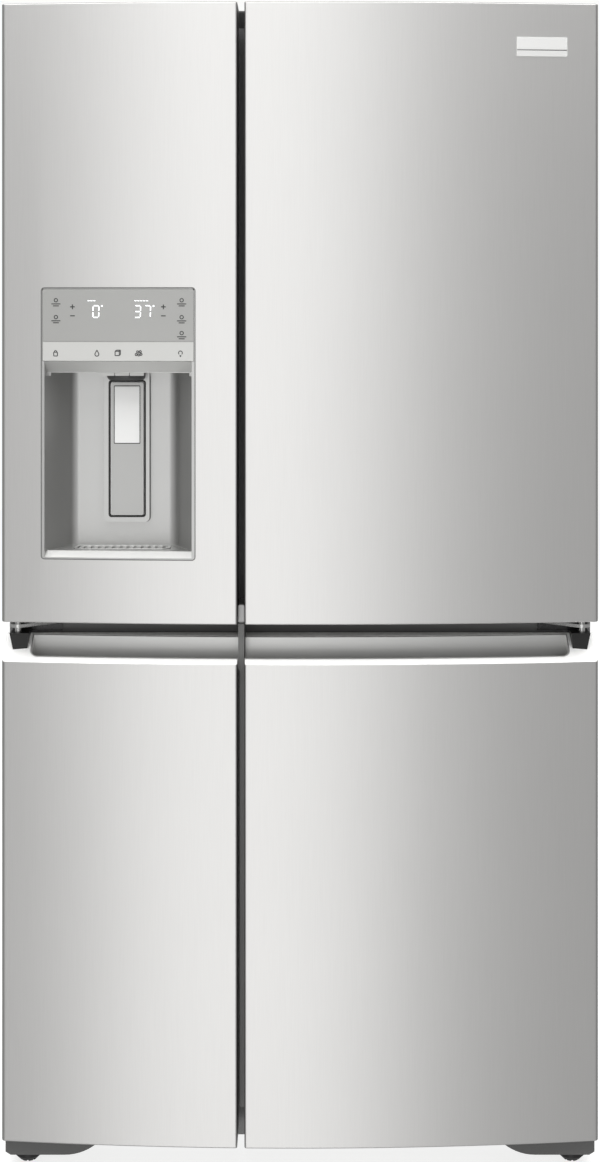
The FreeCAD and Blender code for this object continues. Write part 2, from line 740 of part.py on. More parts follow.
def make_lower_door(side):
    word = "left" if side == LEFT else "right"
    tag = f"lower_{word}"
    z_span = ("lower_door_low", "lower_door_high")
    edges = door_block(tag + "_edges", side, z_span, "0", "door_back")
    low_rim = round_rim(tag + "_rim", edges, ["lower_door_low"])
    sloped = cut(tag + "_sloped", low_rim, [slope_wedge(tag + "_wedge", "0")])
    nose = value("nose_height")
    outer = rounded(tag + "_outer", sloped, "rim_radius",
                    lambda edge: edge.BoundBox.ZLength < 0.01 and abs(edge.BoundBox.ZMin - nose) < 0.5
                    and edge.Length > 100)
    inner_block = door_block(tag + "_inner_block", side, shrunk(z_span, "door_skin"), "door_skin",
                             "door_back + 5")
    inner = cut(tag + "_inner", inner_block, [slope_wedge(tag + "_inner_wedge", "slope_skin_drop")])
    pocket_out = pocket_volume(tag + "_pocket_out", side, "pocket_wall")
    pocket_in = pocket_volume(tag + "_pocket_in", side, "0")
    corner = value("pocket_corner")
    outer_x = value("pocket_outer_x")

    def outer_front(edge):
        place = edge.BoundBox
        return upright(edge) and abs(place.XMin) > outer_x - 1 and place.YMax < value("door_front + 45")
    pocket_out = rounded(tag + "_pocket_out_soft", pocket_out, lambda edge: corner + 2, outer_front)
    pocket_in = rounded(tag + "_pocket_in_soft", pocket_in, lambda edge: corner, outer_front)
    bores = [hinge_bore(tag + "_low_bore", side, ("lower_door_low - 5", "lower_door_low + 20")),
             hinge_bore(tag + "_top_bore", side, ("lower_door_high - 17", "lower_door_high + 15"))]
    sub_part(tag + "_door_skin", cut_each(tag + "_skin", outer, [inner, pocket_out] + bores))

    core_block = door_block(tag + "_core_block", side, shrunk(z_span, "door_skin"), "door_skin", "door_back")
    core = cut(tag + "_core", core_block, [slope_wedge(tag + "_core_wedge", "slope_skin_drop")])
    liner_span = ("lower_cavity_low + bulge_gap + 2", "lower_cavity_high - bulge_gap - 2")
    body = join(tag + "_body_block", [core, door_liner(tag + "_liner", side, liner_span, "40")])
    sub_part(tag + "_door_body", cut_each(tag + "_body", body, [pocket_out] + bores))
    gasket(tag + "_door_gasket", side, ("lower_cavity_low - 14", "lower_cavity_high + 10"))

    lining = cut(tag + "_lining", pocket_out, [pocket_in])
    sub_part(tag + "_handle", common(tag + "_handle", lining, sloped))
    make_hinge_bush(side, sloped)


def make_hinge_bush(side, door):
    """The tapered black bush block that carries the middle pin on a lower door's slope."""
    word = "left" if side == LEFT else "right"
    name = f"lower_{word}_hinge_bush"
    block = prism(name + "_block", "XZ", [
        (f"{side} * (axis_x + 11.5)", "lower_door_high + 5"),
        (f"{side} * (axis_x + 6)", "lower_door_high - 21"),
        (f"{side} * (axis_x - 16)", "lower_door_high - 21"),
        (f"{side} * (axis_x - 17.5)", "lower_door_high + 5")], ("axis_y - 15", "door_back"))
    bore = hinge_bore(name + "_bore", side, ("lower_door_high - 30", "lower_door_high + 10"))
    sub_part(name, cut_each(name, block, [door, bore]))


# ---------------------------------------------------------------- dispenser

def chute_rod(name, radius):
    """A rod along the slanting path that ice takes from the bucket to the recess."""
    item = doc.addObject("Part::Cylinder", name)
    rise = value("chute_top - recess_high")
    run = value("-215 - chute_y")
    direction = V(0, run, rise)
    start = V(value("chute_x"), value("chute_y"), value("recess_high")) - direction * 0.3
    item.Placement = FreeCAD.Placement(start, FreeCAD.Rotation(V(0, 0, 1), direction))
    bind(item, "Radius", radius)
    item.Height = direction.Length * 1.6
    return item


def recess_plan():
    """The recess seen from above: wide at the door's face, narrower at its back wall."""
    return [
        ("recess_low_x", "door_front - 5"), ("recess_low_x", "door_front + 24"),
        ("recess_back_low_x", "recess_back"), ("recess_back_high_x", "recess_back"),
        ("recess_high_x", "door_front + 10"), ("recess_high_x", "door_front - 5"),
    ]


def tray_plan(inset):
    """The drip tray's outline, inside the recess on all sides so that it lifts out."""
    return [
        (f"recess_low_x + {inset}", f"door_front + {inset} + 31"),
        (f"recess_back_low_x + {inset}", f"recess_back - {inset} + 4"),
        (f"recess_back_high_x - {inset}", f"recess_back - {inset} + 4"),
        (f"recess_high_x - {inset}", f"door_front + {inset} + 20"),
    ]


def make_dispenser():
    outer = bowed_block("housing_block", shrunk(("dispenser_low_x", "dispenser_high_x"), "0.2"),
                        shrunk(("dispenser_low", "dispenser_high"), "0.2"), "0.3", "dispenser_back")
    outer = rounded("housing_soft", outer, "5",
                    lambda edge: edge.BoundBox.XLength < 0.01 and edge.BoundBox.ZLength < 0.01)
    cavity = prism("recess_block", "XY", recess_plan(), ("recess_low", "recess_high"))
    back_line = value("recess_back")
    cavity = rounded("recess_soft", cavity, "16",
                     lambda edge: upright(edge) and edge.BoundBox.YMin > back_line - 1)
    boss = box("boss_block", ("boss_low_x", "boss_high_x"), ("boss_face", "recess_back + 1"),
               ("boss_low", "recess_high + 1"))
    boss = rounded("boss_soft", boss, "7", lambda edge: abs(edge.BoundBox.ZMax - value("boss_low")) < 0.01
                   and edge.BoundBox.XLength < 0.01)
    cavity = cut("recess_cavity", cavity, [boss])
    paddle_hole = box("paddle_hole", ("paddle_low_x - paddle_gap", "paddle_high_x + paddle_gap"),
                      ("boss_face - 5", "dispenser_back - 3"),
                      ("paddle_low - paddle_gap", "paddle_high + paddle_gap"))
    pin_bore = rod("paddle_pin_bore", "x", ("paddle_pin_y", "paddle_pin_z"), "paddle_pin_radius + pin_fit",
                   ("paddle_low_x - 4", "paddle_high_x + 4"))
    room = box("wedge_room", ("recess_low_x", "recess_high_x"), ("door_front - 5", "door_back"),
               ("dispenser_low", "dispenser_high"))
    chin = common("chin_cut", bow_sweep("chin_sweep", [
        ("-5", "chin_height"), ("0.5", "chin_height"), ("chin_depth", "recess_high + 1"),
        ("chin_depth", "recess_high - 5"), ("-5", "recess_high - 5")]), room)
    lip = common("lip_cut", bow_sweep("lip_sweep", [
        ("-5", "dispenser_low + 1"), ("0.5", "dispenser_low + 3"), ("13", "recess_low + 1"),
        ("-5", "recess_low + 1")]), room)
    tray_well = prism("tray_well", "XY", tray_plan("(tray_inset - tray_gap)"), ("tray_low", "recess_low + 1"))
    seat = bowed_block("panel_seat", ("dispenser_low_x + 1.7", "dispenser_high_x - 1.7"),
                       ("chin_height", "dispenser_high - 1.7"), "-3", "door_front + 36")
    bore = chute_rod("housing_chute_bore", "chute_radius + 0.05")
    sub_part("dispenser_housing", cut_each("dispenser_housing", outer,
                                           [cavity, paddle_hole, pin_bore, chin, lip, tray_well, seat, bore]))

    panel = bowed_block("panel_block", ("dispenser_low_x + 2", "dispenser_high_x - 2"),
                        ("chin_height + 0.3", "dispenser_high - 2"), "0.3", "door_front + 35.7")
    panel = rounded("panel_soft", panel, "3.5", lambda edge: edge.BoundBox.XLength < 0.01
                    and edge.BoundBox.ZLength < 0.01 and edge.BoundBox.ZMin > value("dispenser_high") - 4)
    panel_bore = chute_rod("panel_chute_bore", "chute_radius + 1")
    sub_part("control_panel", cut("control_panel", panel, [panel_bore]))

    tube = cut("chute_tube", chute_rod("chute_solid", "chute_radius"),
               [chute_rod("chute_inside", "chute_radius - chute_wall")])
    trimmed = box("chute_room", ("-330", "-200"), ("-340", "-150"), ("recess_high - 8", "chute_top"))
    sub_part("ice_chute", common("ice_chute", tube, trimmed))

    tray = prism("tray_block", "XY", tray_plan("tray_inset"), ("tray_low + 0.3", "recess_low"))
    slots = [box(f"tray_slot_{number}", (str(x), str(x + 5)), ("-315", "-280"),
                 ("recess_low - 2", "recess_low + 5"))
             for number, x in enumerate(range(-345, -205, 11))]
    sub_part("drip_tray", cut("drip_tray", tray, slots))


def make_paddle():
    """The push paddle: a plate with rounded corners and a lug with a pin behind its top edge."""
    body = doc.addObject("PartDesign::Body", "paddle_body")
    bind(body, "Placement.Base.y", "paddle_face + paddle_thick")
    face = body_sketch(body, "paddle_face_sketch", "XZ_Plane",
                       rectangle(("paddle_low_x", "paddle_high_x"), ("paddle_low", "paddle_high")))
    pad = body.newObject("PartDesign::Pad", "paddle_pad")
    pad.Profile = face
    bind(pad, "Length", "paddle_thick")
    doc.recompute()
    edges = [f"Edge{number}" for number, edge in enumerate(pad.Shape.Edges, start=1)
             if edge.BoundBox.XLength < 0.01 and edge.BoundBox.ZLength < 0.01]
    soft = body.newObject("PartDesign::Fillet", "paddle_corners")
    soft.Base = (pad, edges)
    soft.Radius = 3
    body.Tip = soft
    lug = box("paddle_lug", ("paddle_low_x + 3", "paddle_high_x - 3"),
              ("paddle_face + paddle_thick - 1", "paddle_pin_y + 3"),
              ("paddle_pin_z - 5", "paddle_pin_z + 4"))
    pin = rod("paddle_pin", "x", ("paddle_pin_y", "paddle_pin_z"), "paddle_pin_radius",
              ("paddle_low_x - 3.5", "paddle_high_x + 3.5"))
    sub_part("dispenser_paddle", join("dispenser_paddle", [body, lug, pin]))


def make_badge():
    """A plain two-bar plate near the top outer corner of the upper right door."""
    plate = bowed_block("badge_block", ("329", "407"), ("1698", "1728"), "-0.9", "door_front + 60")
    groove = bowed_block("badge_groove", ("320", "415"), ("1707.5", "1708.3"), "-2", "door_front + 60")
    skin = bowed_block("badge_skin", ("300", "430"), ("1680", "1740"), "0", "door_front + 70")
    shallow = bowed_block("badge_floor", ("300", "430"), ("1680", "1740"), "-0.4", "door_front + 70")
    sub_part("badge", cut_each("badge", plate, [cut("badge_groove_cut", groove, [shallow]), skin]))


# ---------------------------------------------------------------- inside the doors

def open_tub(name, x_span, y_span, z_span, wall):
    """A moulded tub with an open top and rounded upright corners."""
    block = box(name + "_block", x_span, y_span, z_span)
    soft = rounded(name + "_soft", block, "8", upright)
    hollow = box(name + "_hollow", shrunk(x_span, wall), shrunk(y_span, wall),
                 (f"{z_span[0]} + {wall}", f"{z_span[1]} + 5"))
    soft_hollow = rounded(name + "_hollow_soft", hollow, "5", upright)
    return cut(name, soft, [soft_hollow])


def make_door_storage():
    y_span = ("door_back + 2.5", "-185")
    left_span = ("-380", "-150")
    bucket = open_tub("bucket", left_span, y_span, ("chute_top + 2", "1600"), "bin_wall")
    drop = box("bucket_drop", ("chute_x - 22", "chute_x + 22"), ("-237", "-193"),
               ("chute_top - 5", "chute_top + 10"))
    auger_holes = rod("bucket_auger_hole", "x", ("-228", "1442"), "5 + pin_fit", ("-390", "-140"))
    sub_part("ice_bucket", cut("ice_bucket", bucket, [drop, auger_holes]))
    make_auger()
    sub_part("upper_left_door_bin",
             open_tub("upper_left_bin", left_span, y_span, ("1630", "1700"), "bin_wall"))
    bins = [open_tub(f"right_bin_{number}", ("-28", "380"), ("door_back + 2.5", "-180"),
                     (str(low), str(low + 105)), "bin_wall")
            for number, low in enumerate((895, 1110, 1320, 1540))]
    sub_part("upper_right_door_bins", group("upper_right_door_bins", bins))


def make_auger():
    """A shaft with flat blades set at steps around it, which pushes the ice along."""
    pieces = [rod("auger_shaft", "x", ("-228", "1442"), "5", ("-379.5", "-150.5"))]
    for number, x in enumerate(range(-360, -170, 24)):
        blade = doc.addObject("Part::Box", f"auger_blade_{number}")
        blade.Length = 4
        blade.Width = 14
        blade.Height = 60
        turn = FreeCAD.Rotation(V(1, 0, 0), number * 45)
        centre = turn.multVec(V(2, 7, 30))
        blade.Placement = FreeCAD.Placement(V(x, -228, 1442) - centre, turn)
        pieces.append(blade)
    sub_part("ice_auger", join("ice_auger", pieces))


# ---------------------------------------------------------------- inside the cabinet

def make_shelves():
    plates = []
    freezer = ("freezer_low_x + 1", "freezer_high_x - 1")
    fridge = ("fridge_low_x + 1", "fridge_high_x - 1")
    levels = [(freezer, "236", z) for z in (1080, 1290, 1500)]
    levels += [(fridge, "cavity_back - 2", z) for z in (1060, 1240, 1420, 1600)]
    levels += [(freezer, "cavity_back - 2", z) for z in (520, 660)]
    levels += [(fridge, "cavity_back - 2", z) for z in (520, 660)]
    for number, (x_span, back, low) in enumerate(levels):
        plate = box(f"shelf_{number}", x_span, ("-160", back), (str(low), str(low + 6)))
        plates.append(rounded(f"shelf_soft_{number}", plate, "2.5",
                              lambda edge: edge.BoundBox.YMax < -159.9 and edge.BoundBox.ZLength < 0.01))
    sub_part("shelves", group("shelves", plates))


def make_drawers():
    low_z, high_z = ("94", "278"), ("298", "505")
    freezer_x, fridge_x = ("-380", "freezer_high_x - 5"), ("fridge_low_x + 5", "380")
    plans = (("freezer_drawer_lower", freezer_x, low_z, "cavity_step_back - 6"),
             ("freezer_drawer_upper", freezer_x, high_z, "cavity_back - 10"),
             ("crisper_lower", fridge_x, low_z, "cavity_step_back - 6"),
             ("crisper_upper", fridge_x, high_z, "cavity_back - 10"))
    for name, x_span, z_span, back in plans:
        tub = open_tub(name + "_tub", x_span, ("drawer_front", back), z_span, "drawer_wall")
        scoop = box(name + "_scoop", (f"({x_span[0]} + ({x_span[1]})) / 2 - 60",
                                      f"({x_span[0]} + ({x_span[1]})) / 2 + 60"),
                    ("drawer_front - 5", "drawer_front + 10"), (f"{z_span[1]} - 18", f"{z_span[1]} + 5"))
        soft = rounded(name + "_scoop_soft", scoop, "8",
                       lambda edge, top=value(z_span[1]): edge.BoundBox.ZMax < top - 17
                       and edge.BoundBox.XLength < 0.01)
        sub_part(name, cut(name, tub, [soft]))


def make_filter():
    """The water filter, a twist-in cartridge held by the head in the compartment's ceiling."""
    centre = ("360", "upper_cavity_high - 40")
    body = join("filter_body", [
        rod("filter_tube", "y", centre, "24", ("-110", "48")),
        rod("filter_cap", "y", centre, "27", ("-128", "-108")),
    ])
    grip = box("filter_grip", ("356", "364"), ("-140", "-127"),
               ("upper_cavity_high - 62", "upper_cavity_high - 18"))
    sub_part("water_filter", join("water_filter", [body, grip]))


def make_cold_side():
    """The freezer's evaporator, its cover and fan, and the ice maker."""
    x_span = ("freezer_low_x + 1", "freezer_high_x - 1")
    plate = box("evaporator_plate", x_span, ("240", "243"), ("upper_cavity_low + 4", "1330"))
    slots = [box(f"evaporator_slot_{number}", ("-360", "-170"), ("235", "250"), (str(z), str(z + 8)))
             for number, z in enumerate((890, 910, 930, 1285, 1305))]
    port = rod("evaporator_port", "y", ("-264.5", "1190"), "56", ("235", "250"))
    motor = rod("evaporator_motor", "y", ("-264.5", "1190"), "20", ("281", "298"))
    cover = cut("evaporator_cover_plate", plate, slots + [port])
    sub_part("evaporator_cover", group("evaporator_cover", [cover, motor]))
    rods = [rod(f"evaporator_tube_{number}", "x", (str(y), str(z)), "5", ("-396", "-134"))
            for number, (y, z) in enumerate((y, z) for y in (258, 280) for z in range(900, 1100, 28))]
    plates = [box(f"evaporator_end_{number}", (str(x), str(x + 2)), ("250", "290"), ("885", "1105"))
              for number, x in enumerate(range(-396, -134, 26))]
    sub_part("evaporator_coil", join("evaporator_coil", rods + plates))
    fan("evaporator_fan_blade", "y", (-264.5, 264, 1190), 50)

    shell = box("maker_block", ("-395", "-245"), ("60", "235"), ("1640", "1732"))
    shell = rounded("maker_soft", shell, "8", lambda edge: edge.BoundBox.XLength < 0.01
                    and edge.BoundBox.ZMax < 1641)
    hollow = box("maker_hollow", ("-388", "-252"), ("75", "225"), ("1660", "1725"))
    mouth = box("maker_mouth", ("-388", "-252"), ("50", "80"), ("1690", "1725"))
    sub_part("ice_maker", cut_each("ice_maker", shell, [hollow, mouth]))


def fan(name, axis, centre, radius):
    """A small axial fan: a hub with five flat pitched blades."""
    x, y, z = centre
    reach = {"x": x, "y": y, "z": z}[axis]
    others = [place for letter, place in zip("xyz", centre) if letter != axis]
    pieces = [rod(name + "_hub", axis, (str(others[0]), str(others[1])), "13",
                  (str(reach - 9), str(reach + 9)))]
    along = V(1, 0, 0) if axis == "x" else V(0, 1, 0)
    for number in range(5):
        blade = doc.addObject("Part::Box", f"{name}_{number}")
        blade.Length = 2
        blade.Width = radius * 0.62
        blade.Height = radius - 10
        to_axis = FreeCAD.Rotation() if axis == "x" else FreeCAD.Rotation(V(0, 0, 1), 90)
        pitch = FreeCAD.Rotation(V(0, 0, 1), 62)
        turn = FreeCAD.Rotation(along, number * 72).multiply(to_axis).multiply(pitch)
        corner = turn.multVec(V(-1, -radius * 0.31, 10))
        blade.Placement = FreeCAD.Placement(V(x, y, z) + corner, turn)
        pieces.append(blade)
    sub_part(name, join(name, pieces))


def make_machine_side():
    can = rod("compressor_can", "z", ("-265", "235"), "72", ("48", "185"))
    can = rounded("compressor_soft", can, "34", lambda edge: edge.Length > 300)
    foot = box("compressor_foot", ("-345", "-185"), ("175", "295"), ("cabinet_low + 12", "50"))
    mounts = [rod(f"compressor_mount_{number}", "z", (str(x), str(y)), "10", ("cabinet_low + 2", "50"))
              for number, (x, y) in enumerate(((-335, 185), (-195, 185), (-335, 285), (-195, 285)))]
    pipe = rod("compressor_pipe", "z", ("-265", "235"), "6", ("180", "215"))
    sub_part("compressor", join("compressor", [can, foot, pipe] + mounts))

    tubes = [rod(f"condenser_tube_{number}", "x", (str(y), str(z)), "4", ("160", "330"))
             for number, (y, z) in enumerate((y, z) for y in (190, 235, 280) for z in range(60, 220, 38))]
    fins = [box(f"condenser_fin_{number}", (str(x), str(x + 1.5)), ("170", "300"), ("45", "232"))
            for number, x in enumerate(range(160, 335, 12))]
    sub_part("condenser_coil", join("condenser_coil", tubes + fins))

    fan("condenser_fan_blade", "x", (105, 240, 140), 62)
    motor = rod("fan_motor_can", "x", ("240", "140"), "20", ("46", "84"))
    shaft = rod("fan_motor_shaft", "x", ("240", "140"), "3", ("84", "95.7"))
    leg = box("fan_motor_leg", ("52", "78"), ("230", "250"), ("cabinet_low + 2", "125"))
    sub_part("condenser_fan_motor", join("condenser_fan_motor", [motor, shaft, leg]))

    pan = open_tub("pan", ("-170", "30"), ("150", "340"), ("cabinet_low + 3", "60"), "2")
    sub_part("drain_pan", pan)

    valve = join("valve", [
        box("valve_block", ("375", "425"), ("280", "330"), ("140", "185")),
        rod("valve_coil", "z", ("400", "305"), "16", ("180", "225")),
        rod("valve_port", "y", ("400", "160"), "9", ("325", "352")),
        box("valve_bracket", ("420", "cabinet_half - sheet_wall"), ("285", "325"), ("158", "164")),
    ])
    sub_part("water_valve", valve)

    case = rounded("control_case", box("control_block", ("-60", "70"), ("125", "175"), ("150", "245")), "4",
                   upright)
    inlet = join("power_inlet", [
        box("inlet_block", ("396", "424"), ("345", "364.8"), ("61", "89")),
        box("inlet_flange", ("392", "428"), ("352", "363.2"), ("57", "93")),
    ])
    pins = [box(f"inlet_pin_hole_{number}", (str(x), str(x + 3)), ("355", "370"), (str(z), str(z + 7)))
            for number, (x, z) in enumerate(((402, 77), (415, 77), (408.5, 64)))]
    sub_part("control_box", group("control_box", [case, cut("inlet_cut", inlet, pins)]))


# ---------------------------------------------------------------- build, check and write

def build():
    make_outer_shell()
    make_rear_covers()
    make_foam(make_liners())
    make_mullions()
    make_base_frame()
    make_top_trim()
    make_top_hinges()
    make_middle_hinges()
    make_bottom_hinges()
    make_toe_covers()
    make_feet()
    make_rollers()
    for side in (LEFT, RIGHT):
        make_upper_door(side)
        make_lower_door(side)
    make_dispenser()
    make_paddle()
    make_badge()
    make_door_storage()
    make_shelves()
    make_drawers()
    make_filter()
    make_cold_side()
    make_machine_side()
    doc.recompute()


def check():
    """Stop before writing if any object failed or any sub-part has no valid shape."""
    faults = [f"{item.Name}: {item.State}" for item in doc.Objects
              if {"Invalid", "Error"} & set(item.State)]
    for item in SUB_PARTS:
        if item.Shape.isNull() or not item.Shape.isValid() or not item.Shape.Solids:
            faults.append(f"{item.Label}: no valid solid")
    if faults:
        raise RuntimeError("; ".join(faults))


def write():
    os.makedirs("parts", exist_ok=True)
    for item in SUB_PARTS:
        item.Shape.exportStep(os.path.join("parts", item.Label + ".step"))
        size = item.Shape.BoundBox
        print(f"{item.Label}: {len(item.Shape.Solids)} solids, x {size.XMin:.1f}..{size.XMax:.1f}, "
              f"y {size.YMin:.1f}..{size.YMax:.1f}, z {size.ZMin:.1f}..{size.ZMax:.1f}, "
              f"volume {item.Shape.Volume / 1000:.1f} cm3")


build()
check()
write()
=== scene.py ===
"""Looks of the four-door refrigerator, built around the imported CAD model.  Sizes are in metres."""
import json
import math

import bmesh
import bpy
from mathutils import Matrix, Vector


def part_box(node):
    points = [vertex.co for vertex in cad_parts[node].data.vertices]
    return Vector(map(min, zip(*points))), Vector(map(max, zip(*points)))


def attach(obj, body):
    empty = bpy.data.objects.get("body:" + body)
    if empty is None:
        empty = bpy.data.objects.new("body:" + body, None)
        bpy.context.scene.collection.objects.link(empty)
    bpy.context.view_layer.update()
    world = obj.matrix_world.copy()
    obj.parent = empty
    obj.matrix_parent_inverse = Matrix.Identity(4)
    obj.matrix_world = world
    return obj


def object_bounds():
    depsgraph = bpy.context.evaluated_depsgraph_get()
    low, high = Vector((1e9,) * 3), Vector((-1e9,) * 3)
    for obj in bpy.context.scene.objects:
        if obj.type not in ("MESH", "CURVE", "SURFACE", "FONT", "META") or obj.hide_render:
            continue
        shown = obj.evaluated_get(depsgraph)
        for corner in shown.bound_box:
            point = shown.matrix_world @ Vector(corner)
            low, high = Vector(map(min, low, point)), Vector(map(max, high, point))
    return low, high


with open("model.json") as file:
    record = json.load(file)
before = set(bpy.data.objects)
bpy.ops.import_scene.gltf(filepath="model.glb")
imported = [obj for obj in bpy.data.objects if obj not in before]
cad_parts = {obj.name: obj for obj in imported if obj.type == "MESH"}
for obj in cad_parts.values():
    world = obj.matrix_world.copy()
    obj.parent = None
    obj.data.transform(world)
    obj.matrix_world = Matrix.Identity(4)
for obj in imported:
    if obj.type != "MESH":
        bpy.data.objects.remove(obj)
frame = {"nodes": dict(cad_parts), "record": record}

CAD_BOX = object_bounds()

# ---------------------------------------------------------------- driving dimensions

BOW_RADIUS = 3.711                       # radius of the bow that all four door fronts share
BOX_LOW, BOX_HIGH = (Vector(corner) for corner in CAD_BOX)
BOW_CENTRE_Y = BOX_LOW.y + BOW_RADIUS
PICTURE_HEIGHT = 1162


def bow_y(x, out=0.0):
    """The y of the bowed door front at x, moved outwards by out."""
    radius = BOW_RADIUS + out
    return BOW_CENTRE_Y - math.sqrt(radius * radius - x * x)


# ---------------------------------------------------------------- material kit

def socket(node, name, value):
    node.inputs[name].default_value = value


class Shader:
    """A small builder for one node material with a Principled BSDF."""

    def __init__(self, name, metallic=0.0, roughness=0.5):
        self.material = bpy.data.materials.new(name)
        self.material.use_nodes = True
        self.tree = self.material.node_tree
        self.bsdf = self.tree.nodes["Principled BSDF"]
        socket(self.bsdf, "Metallic", metallic)
        socket(self.bsdf, "Roughness", roughness)
        self.place = self.tree.nodes.new("ShaderNodeTexCoord").outputs["Object"]

    def node(self, kind, **settings):
        made = self.tree.nodes.new(kind)
        for key, value in settings.items():
            setattr(made, key, value)
        return made

    def link(self, source, node, name):
        self.tree.links.new(source, node.inputs[name])

    def scaled(self, scale):
        mapping = self.node("ShaderNodeMapping")
        socket(mapping, "Scale", scale)
        self.link(self.place, mapping, "Vector")
        return mapping.outputs["Vector"]

    def noise(self, scale, detail=4.0, stretch=(1, 1, 1), roughness=0.55):
        noise = self.node("ShaderNodeTexNoise")
        socket(noise, "Scale", scale)
        socket(noise, "Detail", detail)
        socket(noise, "Roughness", roughness)
        self.link(self.scaled(stretch), noise, "Vector")
        return noise.outputs["Fac"]

    def ramp(self, factor, stops):
        ramp = self.node("ShaderNodeValToRGB")
        elements = ramp.color_ramp.elements
        while len(elements) < len(stops):
            elements.new(0.5)
        for element, (place, colour) in zip(elements, stops):
            element.position = place
            element.color = (*colour, 1.0)
        self.link(factor, ramp, "Fac")
        return ramp.outputs["Color"]

    def two_tone(self, factor, dark, light):
        """The usual ramp between two colours, over the middle of the factor."""
        return self.ramp(factor, [(0.3, dark), (0.7, light)])

    def range(self, factor, low, high, start=0.0, end=1.0):
        """Spread a factor that runs from start to end between low and high."""
        spread = self.node("ShaderNodeMapRange")
        socket(spread, "From Min", start)
        socket(spread, "From Max", end)
        socket(spread, "To Min", low)
        socket(spread, "To Max", high)
        self.link(factor, spread, "Value")
        return spread.outputs["Result"]

    def coordinate(self, vector, axis):
        split = self.node("ShaderNodeSeparateXYZ")
        self.link(vector, split, "Vector")
        return split.outputs[axis]

    def normal(self, axis):
        """One coordinate of the surface's normal, in the piece's own axes."""
        return self.coordinate(self.node("ShaderNodeTexCoord").outputs["Normal"], axis)

    def calculate(self, operation, first, second=None):
        """The result of a math node; the second value is a number, an output or absent."""
        made = self.node("ShaderNodeMath", operation=operation)
        self.tree.links.new(first, made.inputs[0])
        if isinstance(second, float):
            made.inputs[1].default_value = second
        elif second is not None:
            self.tree.links.new(second, made.inputs[1])
        return made.outputs[0]

    def mix(self, factor, first, second, blend="MIX"):
        mix = self.node("ShaderNodeMix", data_type="RGBA", blend_type=blend)
        if isinstance(factor, float):
            mix.inputs[0].default_value = factor
        else:
            self.tree.links.new(factor, mix.inputs[0])
        self.tree.links.new(first, mix.inputs[6])
        self.tree.links.new(second, mix.inputs[7])
        return mix.outputs[2]

    def multiply(self, first, second):
        return self.mix(1.0, first, second, "MULTIPLY")

    def faces_up(self, low, high, level, side="LESS_THAN"):
        """One where the surface looks upwards and lies on the given side of a level, otherwise nought."""
        upward = self.range(self.normal("Z"), 0.0, 1.0, start=low, end=high)
        beyond = self.calculate(side, self.coordinate(self.place, "Z"), level)
        return self.calculate("MULTIPLY", upward, beyond)

    def faces_sideways(self):
        """How far the surface looks to the left or right, from nought to one."""
        return self.calculate("ABSOLUTE", self.normal("X"))

    def leaning(self):
        """Nought where the surface looks straight down, a half on upright faces, one straight up."""
        return self.range(self.normal("Z"), 0.0, 1.0, start=-1.0)

    def bump(self, height, strength, distance):
        bump = self.node("ShaderNodeBump")
        socket(bump, "Strength", strength)
        socket(bump, "Distance", distance)
        self.link(height, bump, "Height")
        self.link(bump.outputs["Normal"], self.bsdf, "Normal")

    def colour(self, output):
        self.link(output, self.bsdf, "Base Color")

    def rough(self, output):
        self.link(output, self.bsdf, "Roughness")


def shade(colour, factor):
    return tuple(min(1.0, part * factor) for part in colour)


def grey(level):
    return (level, level, level)


WHITE = grey(1.0)


def brushed_steel(name, colour, roughness=0.34, grain=(900, 900, 14), contrast=0.02, slope_satin_and_highlight=None,
                  edge_shade=1.0):
    """Satin steel with fine upright brush lines, faint smudges and slightly uneven gloss.

    slope is (top height, colour, roughness): faces that look upwards below that height are a
    softer satin, and their colour is lightened as a painted highlight, as on the long slopes over
    the lower doors.  fold is painted shade: it darkens the steel at its upright edges and on its
    level faces above that height.
    """
    kit = Shader(name, metallic=1.0, roughness=roughness)
    lines = kit.noise(1.0, detail=6.0, stretch=grain, roughness=0.7)
    broad = kit.noise(5.0, detail=3.0)
    fine = kit.two_tone(lines, shade(colour, 1 - contrast), shade(colour, 1 + contrast))
    tint = kit.multiply(fine, kit.ramp(broad, [(0.25, grey(0.985)), (0.75, WHITE)]))
    if slope_satin_and_highlight:
        top, light, soft = slope_satin_and_highlight
        on_slope = kit.faces_up(0.25, 0.55, top)
        on_top = kit.faces_up(0.2, 0.9, top, "GREATER_THAN")
        # painted shade: darker on faces that look sideways, and on faces above the top height that look up
        tint = kit.multiply(tint, kit.ramp(kit.faces_sideways(), [(0.35, WHITE), (0.8, grey(edge_shade))]))
        tint = kit.multiply(tint, kit.ramp(on_top, [(0.0, WHITE), (0.8, grey(edge_shade ** 2.5))]))
        # painted highlight: slope faces take the lighter colour; their softer roughness and lower metallic
        # are the real satin
        kit.colour(kit.mix(on_slope, tint, kit.two_tone(lines, shade(light, 0.97), light)))
        kit.rough(kit.range(on_slope, roughness, soft))
        kit.link(kit.range(on_slope, 1.0, 0.15), kit.bsdf, "Metallic")
    else:
        kit.colour(tint)
        kit.rough(kit.range(lines, roughness - 0.03, roughness + 0.05))
    kit.bump(lines, 0.03, 0.00006)
    return kit.material


